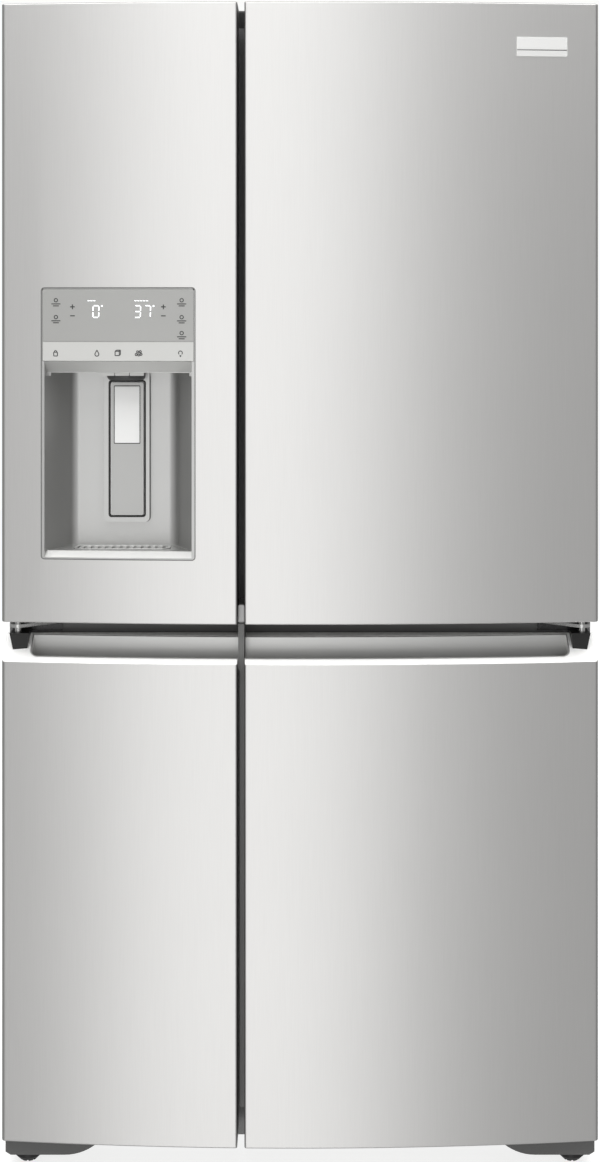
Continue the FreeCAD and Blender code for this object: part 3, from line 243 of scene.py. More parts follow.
def metallic_paint(name, colour, roughness=0.4, metallic=0.85, contrast=0.02, side_shade=1.0, slant_light=None,
                   pocket_shade=None):
    """Silver paint on plastic: fine flakes under a satin coat.

    sides is the factor of painted shade on walls that face sideways.  slants is (factor for faces
    that lean down, factor for faces that lean up), painted light by how a face leans, and hollow is
    (low z, factor there, high z, factor there), painted shade that darkens towards the low end of
    a pocket.
    """
    kit = Shader(name, metallic=metallic, roughness=roughness)
    flakes = kit.noise(2600.0, detail=2.0)
    slow = kit.noise(7.0, detail=2.0)
    fine = kit.two_tone(flakes, shade(colour, 1 - contrast), shade(colour, 1 + contrast))
    tint = kit.multiply(fine, kit.ramp(slow, [(0.25, grey(0.97)), (0.75, WHITE)]))
    # painted shade on walls that face sideways
    if side_shade < 1.0:
        tint = kit.multiply(tint, kit.ramp(kit.faces_sideways(), [(0.35, WHITE), (0.75, grey(side_shade))]))
    # painted light: faces that lean down or up are lightened by these factors
    if slant_light:
        down, up = slant_light
        stops = [(0.1, grey(down)), (0.45, WHITE), (0.6, WHITE), (0.75, grey(up)), (0.93, grey(up)),
                 (0.99, WHITE)]
        tint = kit.multiply(tint, kit.ramp(kit.leaning(), stops))
    # painted shade: darker towards the low level of a pocket
    if pocket_shade:
        low, dim, high, full = pocket_shade
        level = kit.range(kit.coordinate(kit.place, "Z"), 0.0, 1.0, start=low, end=high)
        stops = [(0.0, grey(dim)), (0.35, grey(0.78)), (0.6, grey(full))]
        tint = kit.multiply(tint, kit.ramp(level, stops))
    kit.colour(tint)
    kit.rough(kit.range(flakes, roughness - 0.05, roughness + 0.05))
    kit.bump(flakes, 0.08, 0.00002)
    return kit.material


def hinge_metal(name, colour, dark, front):
    """Bright bent sheet whose flanges, behind the given y, are painted dark with the cabinet."""
    kit = Shader(name, metallic=1.0, roughness=0.25)
    lines = kit.noise(1.0, detail=2.0, stretch=(90, 12, 90))
    behind = kit.calculate("GREATER_THAN", kit.coordinate(kit.place, "Y"), front)
    bright = kit.two_tone(lines, shade(colour, 0.93), colour)
    kit.colour(kit.mix(behind, bright, kit.two_tone(lines, shade(dark, 0.9), dark)))
    kit.link(kit.range(behind, 1.0, 0.0), kit.bsdf, "Metallic")
    kit.rough(kit.range(lines, 0.2, 0.34))
    return kit.material


def moulded(name, colour, roughness=0.45, grain=900.0, grain_depth=0.00006, contrast=0.05, spec=0.5):
    """Moulded plastic: a fine spark-eroded grain, slow colour drift and uneven gloss."""
    kit = Shader(name, roughness=roughness)
    fine = kit.noise(grain, detail=3.0)
    slow = kit.noise(6.0, detail=2.0)
    kit.colour(kit.two_tone(slow, shade(colour, 1 - contrast), shade(colour, 1 + contrast)))
    kit.rough(kit.range(fine, roughness - 0.06, roughness + 0.06))
    kit.bump(fine, 0.25, grain_depth)
    socket(kit.bsdf, "Specular IOR Level", spec)
    return kit.material


def painted(name, colour, roughness=0.38):
    """Textured paint on sheet steel: a light orange peel with specks."""
    kit = Shader(name, roughness=roughness)
    peel = kit.noise(420.0, detail=5.0)
    slow = kit.noise(3.0, detail=2.0)
    kit.colour(kit.two_tone(slow, shade(colour, 0.95), shade(colour, 1.05)))
    kit.rough(kit.range(peel, roughness - 0.05, roughness + 0.07))
    kit.bump(peel, 0.35, 0.00012)
    return kit.material


def galvanised(name, colour):
    """Zinc-coated sheet with the patchy crystals of hot dipping."""
    kit = Shader(name, metallic=0.85, roughness=0.42)
    cells = kit.node("ShaderNodeTexVoronoi")
    socket(cells, "Scale", 70.0)
    kit.link(kit.place, cells, "Vector")
    kit.colour(kit.ramp(cells.outputs["Distance"], [(0.0, shade(colour, 0.86)), (0.8, shade(colour, 1.1))]))
    kit.rough(kit.range(cells.outputs["Distance"], 0.32, 0.52))
    return kit.material


def rubber(name, colour):
    kit = Shader(name, roughness=0.7)
    fine = kit.noise(600.0, detail=3.0)
    slow = kit.noise(8.0, detail=2.0)
    kit.colour(kit.two_tone(slow, shade(colour, 0.9), shade(colour, 1.08)))
    kit.rough(kit.range(fine, 0.6, 0.8))
    kit.bump(fine, 0.3, 0.0001)
    return kit.material


def clear_plastic(name, colour, roughness=0.12, passes=0.72):
    """Frosted clear plastic that still shows what is behind it."""
    kit = Shader(name, roughness=roughness)
    slow = kit.noise(9.0, detail=3.0)
    kit.colour(kit.two_tone(slow, shade(colour, 0.97), colour))
    kit.rough(kit.range(slow, roughness - 0.04, roughness + 0.06))
    socket(kit.bsdf, "Transmission Weight", passes)
    socket(kit.bsdf, "IOR", 1.25)
    return kit.material


def shelf_glass(name):
    kit = Shader(name, roughness=0.04)
    slow = kit.noise(7.0, detail=2.0)
    kit.colour(kit.two_tone(slow, (0.80, 0.90, 0.87), (0.84, 0.93, 0.90)))
    kit.rough(kit.range(slow, 0.02, 0.07))
    socket(kit.bsdf, "Transmission Weight", 0.85)
    socket(kit.bsdf, "IOR", 1.2)
    return kit.material


def glowing(name, colour, strength):
    """A lit display segment or lamp, a little uneven across its face."""
    kit = Shader(name, roughness=0.4)
    slow = kit.noise(40.0, detail=1.0)
    tint = kit.ramp(slow, [(0.2, shade(colour, 0.94)), (0.8, colour)])
    kit.colour(tint)
    kit.link(tint, kit.bsdf, "Emission Color")
    socket(kit.bsdf, "Emission Strength", strength)
    return kit.material


def foam(name):
    kit = Shader(name, roughness=0.9)
    cells = kit.noise(300.0, detail=5.0)
    kit.colour(kit.two_tone(cells, (0.72, 0.62, 0.38), (0.86, 0.78, 0.55)))
    kit.bump(cells, 0.6, 0.0008)
    return kit.material


# ---------------------------------------------------------------- materials

STEEL = (0.800, 0.793, 0.780)

MATERIALS = {
    # the slopes carry a painted highlight, the upright edges and the top painted shade
    "stainless_front": brushed_steel("stainless_front", STEEL, slope_satin_and_highlight=(1.0, (0.98, 0.98, 0.97), 0.6),
                                     edge_shade=0.4),
    "cabinet_paint": painted("cabinet_paint", (0.17, 0.17, 0.17)),
    "galvanised": galvanised("galvanised_sheet", (0.62, 0.63, 0.65)),
    "hinge_steel": hinge_metal("hinge_steel", (0.70, 0.70, 0.69), (0.02, 0.02, 0.02), -0.2685),
    "compressor_black": painted("compressor_black", (0.015, 0.015, 0.016), roughness=0.3),
    "coil_metal": brushed_steel("coil_metal", (0.68, 0.69, 0.71), roughness=0.32, grain=(30, 400, 400)),
    "liner_white": moulded("liner_white", (0.80, 0.81, 0.81), roughness=0.28, grain=500.0,
                           grain_depth=0.00003, contrast=0.02),
    "foam": foam("foam_yellow"),
    "mullion_grey": moulded("mullion_grey", (0.13, 0.13, 0.128), roughness=0.42),
    "trim_black": moulded("trim_black", (0.014, 0.014, 0.0135), roughness=0.36, spec=0.35),
    "door_liner_white": moulded("door_liner_white", (0.78, 0.79, 0.79), roughness=0.3, grain=500.0,
                                grain_depth=0.00003, contrast=0.02),
    "gasket_grey": rubber("gasket_grey", (0.12, 0.12, 0.12)),
    # painted shade, darker towards the bottom of the handle pocket
    "handle_grey": metallic_paint("handle_silver", (0.80, 0.80, 0.785), roughness=0.42,
                                  pocket_shade=(0.766, 0.30, 0.812, 1.0)),
    # painted shade on the recess's side walls, painted light on its leaning faces
    "dispenser_grey": metallic_paint("dispenser_silver", (0.59, 0.59, 0.58), roughness=0.38, side_shade=0.75,
                                     slant_light=(1.5, 1.22)),
    "panel_grey": moulded("panel_grey", (0.335, 0.335, 0.325), roughness=0.25, grain=1200.0,
                          grain_depth=0.00002, contrast=0.02),
    "paddle_grey": metallic_paint("paddle_silver", (0.50, 0.50, 0.49), roughness=0.4, metallic=0.7),
    "chute_dark": moulded("chute_dark", (0.05, 0.05, 0.05), roughness=0.4),
    "badge_metal": metallic_paint("badge_satin", (0.76, 0.76, 0.75), roughness=0.35, metallic=0.25),
    "bin_clear": clear_plastic("bin_clear", (0.90, 0.93, 0.95)),
    "drawer_clear": clear_plastic("drawer_clear", (0.88, 0.92, 0.94), roughness=0.16),
    "shelf_glass": shelf_glass("shelf_glass"),
    "foot_black": moulded("foot_black", (0.012, 0.012, 0.012), roughness=0.45),
    "roller_grey": rubber("roller_grey", (0.06, 0.06, 0.06)),
    "part_white": moulded("part_white", (0.74, 0.74, 0.72), roughness=0.4),
    "part_black": moulded("part_black", (0.03, 0.03, 0.03), roughness=0.4),
    "filter_blue": moulded("filter_white", (0.76, 0.79, 0.82), roughness=0.3, contrast=0.02),
}

TOE_GREY = moulded("toe_grey", (0.085, 0.085, 0.083), roughness=0.45)
NODE_MATERIALS = {"toe_covers": TOE_GREY}    # nodes whose finish isn't their slot's usual one

LIGHT_GREY = moulded("button_strip_grey", (0.51, 0.51, 0.495), roughness=0.32, contrast=0.02)
PAD_GREY = moulded("paddle_pad_grey", (0.84, 0.84, 0.83), roughness=0.35, contrast=0.02)
CAP_GREY = moulded("centre_cap_grey", (0.125, 0.125, 0.122), roughness=0.45)
POST_METAL = metallic_paint("post_satin", (0.24, 0.24, 0.235), roughness=0.35)
POST_BRIGHT = metallic_paint("post_bright", (0.40, 0.40, 0.395), roughness=0.3)
TRIM_SATIN = metallic_paint("shelf_trim_satin", (0.78, 0.79, 0.80), roughness=0.3)
BADGE_SHADE = metallic_paint("badge_shade", (0.72, 0.72, 0.71), roughness=0.35, metallic=0.25)
RIM_SILVER = metallic_paint("tray_rim_silver", (0.80, 0.80, 0.79), roughness=0.3)
PRINT_DARK = moulded("printed_marks", (0.035, 0.035, 0.035), roughness=0.5, grain=2000.0, contrast=0.1)
# dark seams, and the painted shadow line round the dispenser's boss
SEAM_AND_SHADOW_GREY = moulded("seam_and_shadow_grey", (0.13, 0.13, 0.127), roughness=0.5)
OUTLINE_DARK = moulded("shadow_gap", (0.012, 0.012, 0.012), roughness=0.6)
LIT = glowing("lit_segments", (0.95, 0.98, 1.0), 1.15)
LED_BAR = glowing("led_bar", (1.0, 0.98, 0.94), 0.6)


def finish_cad_nodes():
    """Give every carried-over CAD node its procedural material."""
    for part in frame["record"]["subparts"]:
        node = frame["nodes"][part["node"]]
        if not node.material_slots:
            node.data.materials.append(None)
        for place in node.material_slots:
            place.link = "OBJECT"
            place.material = NODE_MATERIALS.get(part["node"], MATERIALS[part["material_slot"]])


# ---------------------------------------------------------------- mesh kit

def piece(name, mesh, material, body, smooth_angle=None):
    """Finish a bmesh as a named piece with a material that rides on a body."""
    data = bpy.data.meshes.new(name)
    bmesh.ops.recalc_face_normals(mesh, faces=mesh.faces)
    mesh.to_mesh(data)
    mesh.free()
    made = bpy.data.objects.new(name, data)
    bpy.context.scene.collection.objects.link(made)
    data.materials.append(material)
    if smooth_angle is not None:
        for polygon in data.polygons:
            polygon.use_smooth = True
        data.set_sharp_from_angle(angle=math.radians(smooth_angle))
    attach(made, body)
    return made


def rounded_rectangle(x_low, x_high, z_low, z_high, radius, steps=5):
    """Corner points of a rectangle with rounded corners, in order round it."""
    points = []
    for centre_x, centre_z, start in ((x_high - radius, z_high - radius, 0),
                                      (x_low + radius, z_high - radius, 90),
                                      (x_low + radius, z_low + radius, 180),
                                      (x_high - radius, z_low + radius, 270)):
        for step in range(steps + 1):
            angle = math.radians(start + 90 * step / steps)
            points.append((centre_x + radius * math.cos(angle), centre_z + radius * math.sin(angle)))
    return points


def add_plate(mesh, outline, surface, out, thickness):
    """A thin plate with the given (x, z) outline lying on a surface y = surface(x, out)."""
    front = [mesh.verts.new((x, surface(x, out), z)) for x, z in outline]
    back = [mesh.verts.new((x, surface(x, out - thickness), z)) for x, z in outline]
    mesh.faces.new(front)
    mesh.faces.new(list(reversed(back)))
    count = len(outline)
    for number in range(count):
        follow = (number + 1) % count
        mesh.faces.new((front[number], back[number], back[follow], front[follow]))


BEND_CUTS = 24


def bend(mesh, x_low, x_high):
    """Cut a flat mesh by upright planes and lay it round the bow; its -y is the distance outwards."""
    for number in range(1, BEND_CUTS):
        place = x_low + (x_high - x_low) * number / BEND_CUTS
        geometry = mesh.verts[:] + mesh.edges[:] + mesh.faces[:]
        bmesh.ops.bisect_plane(mesh, geom=geometry, plane_co=(place, 0, 0), plane_no=(1, 0, 0))
    for vertex in mesh.verts:
        vertex.co.y = bow_y(vertex.co.x, -vertex.co.y)


def bowed_plate(name, spans, radius, out, thickness, material, body):
    """A rounded plate that follows the doors' bow; spans are (x low, x high, z low, z high)."""
    mesh = bmesh.new()
    add_plate(mesh, rounded_rectangle(*spans, radius), lambda x, lift: -lift, out, thickness)
    bend(mesh, *spans[:2])
    return piece(name, mesh, material, body, smooth_angle=35)


def bowed_frame(name, spans, width, radius, out, thickness, material, body):
    """A rounded rectangular ring that follows the doors' bow."""
    mesh = bmesh.new()
    add_frame(mesh, spans[:2], spans[2:], width, -out, thickness - out, radius)
    bend(mesh, *spans[:2])
    return piece(name, mesh, material, body, smooth_angle=35)


def add_block(mesh, low, high, bevel=0.0, segments=2):
    """A box between two corners with all edges bevelled."""
    block = bmesh.ops.create_cube(mesh, size=1.0)
    low, high = Vector(low), Vector(high)
    size, centre = high - low, (high + low) / 2
    for vertex in block["verts"]:
        vertex.co = Vector((vertex.co.x * size.x, vertex.co.y * size.y, vertex.co.z * size.z)) + centre
    if bevel:
        edges = list({edge for vertex in block["verts"] for edge in vertex.link_edges})
        bmesh.ops.bevel(mesh, geom=edges, offset=bevel, segments=segments, affect="EDGES")


def add_frame(mesh, x_span, z_span, width, y_low, y_high, radius):
    """A rounded rectangular ring that faces the front, between two y levels."""
    outer = rounded_rectangle(*x_span, *z_span, radius)
    inner = rounded_rectangle(x_span[0] + width, x_span[1] - width, z_span[0] + width, z_span[1] - width,
                              max(radius - width, 0.0003))
    count = len(outer)
    rings = []
    for y in (y_low, y_high):
        rings.append([mesh.verts.new((x, y, z)) for x, z in outer])
        rings.append([mesh.verts.new((x, y, z)) for x, z in inner])
    for number in range(count):
        follow = (number + 1) % count
        for first, second in ((0, 1), (1, 3), (3, 2), (2, 0)):
            mesh.faces.new((rings[first][number], rings[first][follow],
                            rings[second][follow], rings[second][number]))


def add_ring(mesh, centre, radii, levels, steps=40):
    """A turned ring about an upright axis: (radius, z) pairs joined in order and closed."""
    rows = []
    for step in range(steps):
        angle = 2 * math.pi * step / steps
        rows.append([mesh.verts.new((centre[0] + radius * math.cos(angle),
                                     centre[1] + radius * math.sin(angle), z))
                     for radius, z in zip(radii, levels)])
    count = len(radii)
    for step in range(steps):
        follow = (step + 1) % steps
        for number in range(count):
            after = (number + 1) % count
            mesh.faces.new((rows[step][number], rows[follow][number], rows[follow][after], rows[step][after]))


def lay_flat(mesh):
    """Turn a mesh that faces the front so that it faces up; its -y becomes the height."""
    for vertex in mesh.verts:
        vertex.co = Vector((vertex.co.x, vertex.co.z, -vertex.co.y))


def bar_outline(start, end, width):
    """A thin straight bar from one (x, z) point to another."""
    along = Vector((end[0] - start[0], end[1] - start[1]))
    side = Vector((-along.y, along.x)).normalized() * width / 2
    return [(start[0] + side.x, start[1] + side.y), (start[0] - side.x, start[1] - side.y),
            (end[0] - side.x, end[1] - side.y), (end[0] + side.x, end[1] + side.y)]


def ring_outlines(centre, radius, width, start=0, sweep=360, steps=20):
    """Quads that make a ring or an arc."""
    quads = []
    for step in range(steps):
        first = math.radians(start + sweep * step / steps)
        second = math.radians(start + sweep * (step + 1) / steps)
        inner, outer = radius - width / 2, radius + width / 2
        quads.append([(centre[0] + size * math.cos(angle), centre[1] + size * math.sin(angle))
                      for size, angle in ((inner, first), (outer, first), (outer, second), (inner, second))])
    return quads


def marks(name, outlines, out, material, body, thickness=0.0001):
    """Printed or lit marks: many small outlines laid on the bowed front."""
    mesh = bmesh.new()
    for outline in outlines:
        add_plate(mesh, outline, bow_y, out, thickness)
    return piece(name, mesh, material, body)


# ---------------------------------------------------------------- dispenser

PANEL_LOW, PANEL_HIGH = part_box("control_panel")
HOUSING_LOW, HOUSING_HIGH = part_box("dispenser_housing")
PADDLE_LOW, PADDLE_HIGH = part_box("dispenser_paddle")
CHUTE_LOW, CHUTE_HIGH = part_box("ice_chute")
STRIP_HEIGHT = 0.0295                    # the lighter strip of touch keys under the display
PANEL_OUT = -0.0003                      # the panel's own face lies this far behind the bow
PANEL_MARGIN, COVER_GAP = 0.0006, 0.0004
FIGURE_HEIGHT = 0.0178
CAPTION_PITCH, CAPTION_DASH = 0.0044, 0.0032    # rows of dashes stand in for the captions
KEY_HALF = 0.0036                        # half the width of the plus and minus marks
ICON_LINE = 0.0014
BOSS_X, BOSS_LOW_Z = (-0.305, -0.234), 0.983    # the upright boss behind the paddle
RECESS_BACK_Y, RECESS_CEILING = -0.268, 1.217
TAB_PITCH, TAB_HALF = 0.0225, 0.0108     # the three lamp tabs over the chute


def digit_segments(text, left, bottom, height):
    """Seven-segment figures with a degree mark, as outlines that lean a little to the right."""
    lit = {"0": "abcdef", "3": "abcdg", "7": "abc"}
    width, bar, lean = height * 0.5, height * 0.08, 0.03
    pitch = width * 1.7
    places = {
        "a": ((0.12, 1.0), (0.88, 1.0)), "g": ((0.12, 0.5), (0.88, 0.5)), "d": ((0.12, 0.0), (0.88, 0.0)),
        "f": ((0.0, 0.93), (0.0, 0.57)), "b": ((1.0, 0.93), (1.0, 0.57)),
        "e": ((0.0, 0.43), (0.0, 0.07)), "c": ((1.0, 0.43), (1.0, 0.07)),
    }
    outlines = []
    for number, figure in enumerate(text):
        start = left + number * pitch
        for segment in lit[figure]:
            ends = [(start + u * width + v * height * lean, bottom + v * height)
                    for u, v in places[segment]]
            outlines.append(bar_outline(ends[0], ends[1], bar))
    ring_x = left + (len(text) - 1) * pitch + width * 1.5 + height * lean
    outlines += ring_outlines((ring_x, bottom + height - bar * 0.3), bar * 0.7, bar * 0.45, steps=12)
    return outlines


def make_display():
    """The display's cover, the strip of touch keys under it, and the lit and printed marks."""
    x_low, x_high = PANEL_LOW.x, PANEL_HIGH.x
    split = PANEL_LOW.z + STRIP_HEIGHT
    body = "upper_left_door"
    bowed_plate("display_glass",
                (x_low + PANEL_MARGIN, x_high - PANEL_MARGIN, split + COVER_GAP, PANEL_HIGH.z - PANEL_MARGIN),
                0.0035, PANEL_OUT + 0.0005, 0.0005, MATERIALS["panel_grey"], body)
    bowed_plate("button_strip",
                (x_low + PANEL_MARGIN, x_high - PANEL_MARGIN, PANEL_LOW.z + COVER_GAP, split - COVER_GAP),
                0.0006, PANEL_OUT + 0.0007, 0.0007, LIGHT_GREY, body)
    face = PANEL_OUT + 0.0006
    width = x_high - x_low
    height = PANEL_HIGH.z - split

    def at(u, v):
        return x_low + u * width, split + v * height

    lit = digit_segments("0", *at(0.335, 0.46), FIGURE_HEIGHT)
    lit += digit_segments("37", *at(0.610, 0.46), FIGURE_HEIGHT)
    for u, count in ((0.300, 3), (0.610, 5)):
        caption_x, caption_z = at(u, 0.775)
        lit += [bar_outline((caption_x + step * CAPTION_PITCH, caption_z),
                            (caption_x + step * CAPTION_PITCH + CAPTION_DASH, caption_z), 0.0010)
                for step in range(count)]
    marks("display_lit", lit, face, LIT, body)

    dark = []
    for u in (0.200, 0.800):
        x, z = at(u, 0.66)
        dark += [bar_outline((x - KEY_HALF, z), (x + KEY_HALF, z), 0.0016),
                 bar_outline((x, z - KEY_HALF), (x, z + KEY_HALF), 0.0016)]
        x, z = at(u, 0.49)
        dark.append(bar_outline((x - KEY_HALF, z), (x + KEY_HALF, z), 0.0016))
    for u, v in ((0.090, 0.74), (0.920, 0.74), (0.090, 0.42), (0.920, 0.42), (0.920, 0.12)):
        dark += key_mark(at(u, v))
    marks("display_marks", dark, face, PRINT_DARK, body)
    make_strip_icons(x_low, width, (PANEL_LOW.z + split) / 2 - 0.003, body)


def key_mark(centre):
    """A generic touch-key mark: a small ring over two short bars."""
    x, z = centre
    return ring_outlines((x, z + 0.0036), 0.0026, 0.0014, steps=14) + [
        bar_outline((x - 0.0070, z - 0.0020), (x + 0.0070, z - 0.0020), 0.0015),
        bar_outline((x - 0.0045, z - 0.0050), (x + 0.0045, z - 0.0050), 0.0015)]


def make_strip_icons(x_low, width, z, body):
    """Lock, water drop, ice cube, crushed ice and lamp marks along the lighter strip."""
    shapes = []

    def bars(centre_x, *ends):
        """Lines between pairs of points given from (centre_x, z)."""
        return [bar_outline((centre_x + x1, z + z1), (centre_x + x2, z + z2), ICON_LINE)
                for x1, z1, x2, z2 in ends]

    def square(centre_x, up, half, turn=0.0):
        corners = [(half * math.cos(turn + math.pi * (0.25 + 0.5 * corner)) * 1.414,
                    up + half * math.sin(turn + math.pi * (0.25 + 0.5 * corner)) * 1.414)
                   for corner in range(4)]
        return bars(centre_x, *((*corners[side], *corners[(side + 1) % 4]) for side in range(4)))

    lock = x_low + 0.088 * width
    shapes += square(lock, -0.0012, 0.0029)
    shapes += ring_outlines((lock, z + 0.0022), 0.0019, ICON_LINE, 0, 180, 10)
    drop = x_low + 0.362 * width
    shapes += ring_outlines((drop, z - 0.0012), 0.0030, ICON_LINE, 150, 240, 16)
    shapes += bars(drop, (-0.0026, 0.0003, 0, 0.0050), (0.0026, 0.0003, 0, 0.0050))
    cube = x_low + 0.496 * width
    shapes += square(cube, 0.0, 0.0032)
    shapes += bars(cube, (-0.0032, 0.0032, -0.0010, 0.0050), (0.0032, 0.0032, 0.0050, 0.0050),
                   (-0.0010, 0.0050, 0.0050, 0.0050), (0.0050, 0.0050, 0.0050, -0.0014),
                   (0.0032, -0.0032, 0.0050, -0.0014))
    crushed = x_low + 0.636 * width
    grains = ((-0.0034, -0.0016), (0.0006, -0.0022), (0.0040, -0.0012), (-0.0012, 0.0024), (0.0028, 0.0028))
    for number, (across, up) in enumerate(grains):
        shapes += square(crushed + across, up, 0.0014, turn=0.5 * number)
    lamp = x_low + 0.912 * width
    shapes += ring_outlines((lamp, z + 0.0010), 0.0029, ICON_LINE, -50, 280, 18)
    shapes += bars(lamp, (-0.0014, -0.0032, 0.0014, -0.0032), (-0.0010, -0.0044, 0.0010, -0.0044))
    marks("strip_icons", shapes, PANEL_OUT + 0.0008, PRINT_DARK, body)


def make_dispenser_seam_and_boss_shadow():
    """The dark gap round the dispenser's frame, and a dark line of painted shadow round the boss behind the
    paddle.
    """
    gap, seam = 0.0007, 0.0012
    bowed_frame("dispenser_seam", (HOUSING_LOW.x - gap, HOUSING_HIGH.x + gap,
                                   HOUSING_LOW.z - gap, HOUSING_HIGH.z + gap),
                0.0014, 0.0056, 0.0004, 0.0008, SEAM_AND_SHADOW_GREY, "upper_left_door")
    # painted shadow: a dark line on the back wall round the foot of the boss
    mesh = bmesh.new()
    add_frame(mesh, (BOSS_X[0] - seam, BOSS_X[1] + seam), (BOSS_LOW_Z - seam, RECESS_CEILING - 0.0002),
              0.0022, RECESS_BACK_Y - 0.0006, RECESS_BACK_Y + 0.0004, 0.0082)
    piece("boss_shadow_line", mesh, SEAM_AND_SHADOW_GREY, "upper_left_door")


def make_paddle_trim():
    """The light insert in the paddle's upper half, its thin outline, and the dark ring round the paddle."""
    face = PADDLE_LOW.y
    inset, margin, outline = 0.0035, 0.0062, 0.0012
    x_low, x_high = PADDLE_LOW.x + inset, PADDLE_HIGH.x - inset
    pad_x, pad_z = (x_low + margin, x_high - margin), (PADDLE_HIGH.z - 0.094, PADDLE_HIGH.z - 0.006)
    mesh = bmesh.new()
    add_block(mesh, (pad_x[0], face - 0.0011, pad_z[0]), (pad_x[1], face + 0.0005, pad_z[1]), 0.0007)
    piece("paddle_pad", mesh, PAD_GREY, "paddle", 40)
    mesh = bmesh.new()
    add_frame(mesh, (pad_x[0] - outline, pad_x[1] + outline), (pad_z[0] - outline, pad_z[1] + outline),
              0.0011, face - 0.0003, face + 0.0004, 0.0015)
    piece("paddle_pad_outline", mesh, OUTLINE_DARK, "paddle")
    mesh = bmesh.new()
    add_frame(mesh, (x_low - inset, x_high + inset), (PADDLE_LOW.z - 0.0034, PADDLE_HIGH.z + 0.0034),
              0.0022, face + 0.0012, face + 0.0026, 0.0045)
    piece("paddle_surround", mesh, OUTLINE_DARK, "upper_left_door")


def make_nozzle():
    """Three pale lamp tabs in a row, and the dark hood round the ice chute's mouth."""
    centre = (CHUTE_LOW.x + CHUTE_HIGH.x) / 2
    ceiling = CHUTE_LOW.z + 0.008
    front = CHUTE_LOW.y - 0.0005
    mesh = bmesh.new()
    for number in (-1, 0, 1):
        x = centre - 0.004 + number * TAB_PITCH
        add_block(mesh, (x - TAB_HALF, front, ceiling - 0.0048),
                  (x + TAB_HALF, front + 0.008, ceiling + 0.0004), 0.0006)
    piece("nozzle_tabs", mesh, LIGHT_GREY, "upper_left_door", 40)
    mesh = bmesh.new()
    add_ring(mesh, (centre, CHUTE_LOW.y + 0.0310), (0.0300, 0.0295, 0.0262, 0.0256, 0.0256),
             (ceiling - 0.0002, ceiling - 0.0085, ceiling - 0.0125, ceiling - 0.0125, ceiling - 0.0002))
    piece("chute_hood", mesh, MATERIALS["chute_dark"], "upper_left_door", 40)


def make_tray_rim():
    """A raised, rounded rim round the tray's slots, with a dark seam outside it."""
    low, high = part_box("drip_tray")
    x_span = (low.x + 0.032, high.x - 0.026)
    y_span = (low.y + 0.012, high.y - 0.006)
    top, seam = high.z, 0.0012
    mesh = bmesh.new()
    add_frame(mesh, x_span, y_span, 0.0035, -top - 0.0013, -top + 0.0006, 0.012)
    lay_flat(mesh)
    piece("tray_rim", mesh, RIM_SILVER, "tray", 40)
    mesh = bmesh.new()
    add_frame(mesh, (x_span[0] - seam, x_span[1] + seam), (y_span[0] - seam, y_span[1] + seam),
              0.0013, -top - 0.0003, -top + 0.0006, 0.013)
    lay_flat(mesh)
    piece("tray_rim_seam", mesh, SEAM_AND_SHADOW_GREY, "tray", 40)


# ---------------------------------------------------------------- posts behind the door gaps

SPLIT_LEFT, SPLIT_RIGHT = -0.095, -0.084        # the upright gap between the two columns of doors
POST_STRIP_Z = (0.072, 0.762)            # behind the gap of the lower doors
POST_STRIP_OUT = 0.012
POST_FOOT_Z = (0.8352, 0.8625)           # at the lower end of the gap of the upper doors
POST_FOOT_Y = -0.335
CAP_Y, CAP_DEPTH = -0.345, 0.079


def make_posts():
    """Two trim strips on the post behind the gap, and the small cap where the four doors meet."""
    x_low, x_high = SPLIT_LEFT + 0.0010, SPLIT_RIGHT - 0.0010
    post_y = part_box("mullions")[0].y
    strips = (("post_strip_low", post_y - POST_STRIP_OUT, POST_STRIP_Z, POST_METAL),
              ("post_foot", POST_FOOT_Y, POST_FOOT_Z, POST_BRIGHT))
    for name, front, z_span, material in strips:
        mesh = bmesh.new()
        add_block(mesh, (x_low, front, z_span[0]), (x_high, post_y + 0.0004, z_span[1]), 0.0012)
        piece(name, mesh, material, "cabinet", 40)
    mesh = bmesh.new()
    outline = [(x_low, 0.835), (x_high, 0.835), (x_high, 0.769), (x_low + 0.003, 0.7622), (x_low, 0.767)]
    add_plate(mesh, outline, lambda x, out: CAP_Y - out, 0.0, CAP_DEPTH)
    piece("centre_cap", mesh, CAP_GREY, "cabinet")


BADGE_SPLIT = 0.0100                     # height of the groove over the badge's lower edge
BADGE_OUT = 0.0016                       # how far the bars stand out of the door's bow
BADGE_MARGIN = 0.0006


def make_badge_trim():
    """The thinner lower bar of the badge, and the groove line above it."""
    low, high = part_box("badge")
    x_low, x_high, split = low.x + BADGE_MARGIN, high.x - BADGE_MARGIN, low.z + BADGE_SPLIT
    bowed_plate("badge_line", (x_low, x_high, split - 0.0006, split + 0.0006),
                0.0002, BADGE_OUT, 0.0008, MATERIALS["gasket_grey"], "upper_right_door")
    bowed_plate("badge_lower_bar", (x_low, x_high, low.z + BADGE_MARGIN, split - 0.0008),
                0.0005, BADGE_OUT, 0.0008, BADGE_SHADE, "upper_right_door")


# ---------------------------------------------------------------- inside trim

FREEZER_X = (-0.409, -0.120)
FRIDGE_X = (-0.058, 0.409)
UPPER_SHELVES = ((FREEZER_X, (1.080, 1.290, 1.500)), (FRIDGE_X, (1.060, 1.240, 1.420, 1.600)))
LOWER_SHELVES = ((FREEZER_X, (0.520, 0.660)), (FRIDGE_X, (0.520, 0.660)))
LAMP_BAR_Y = (-0.235, -0.215)
LAMP_BAR_Z = (1.7285, 1.7352)


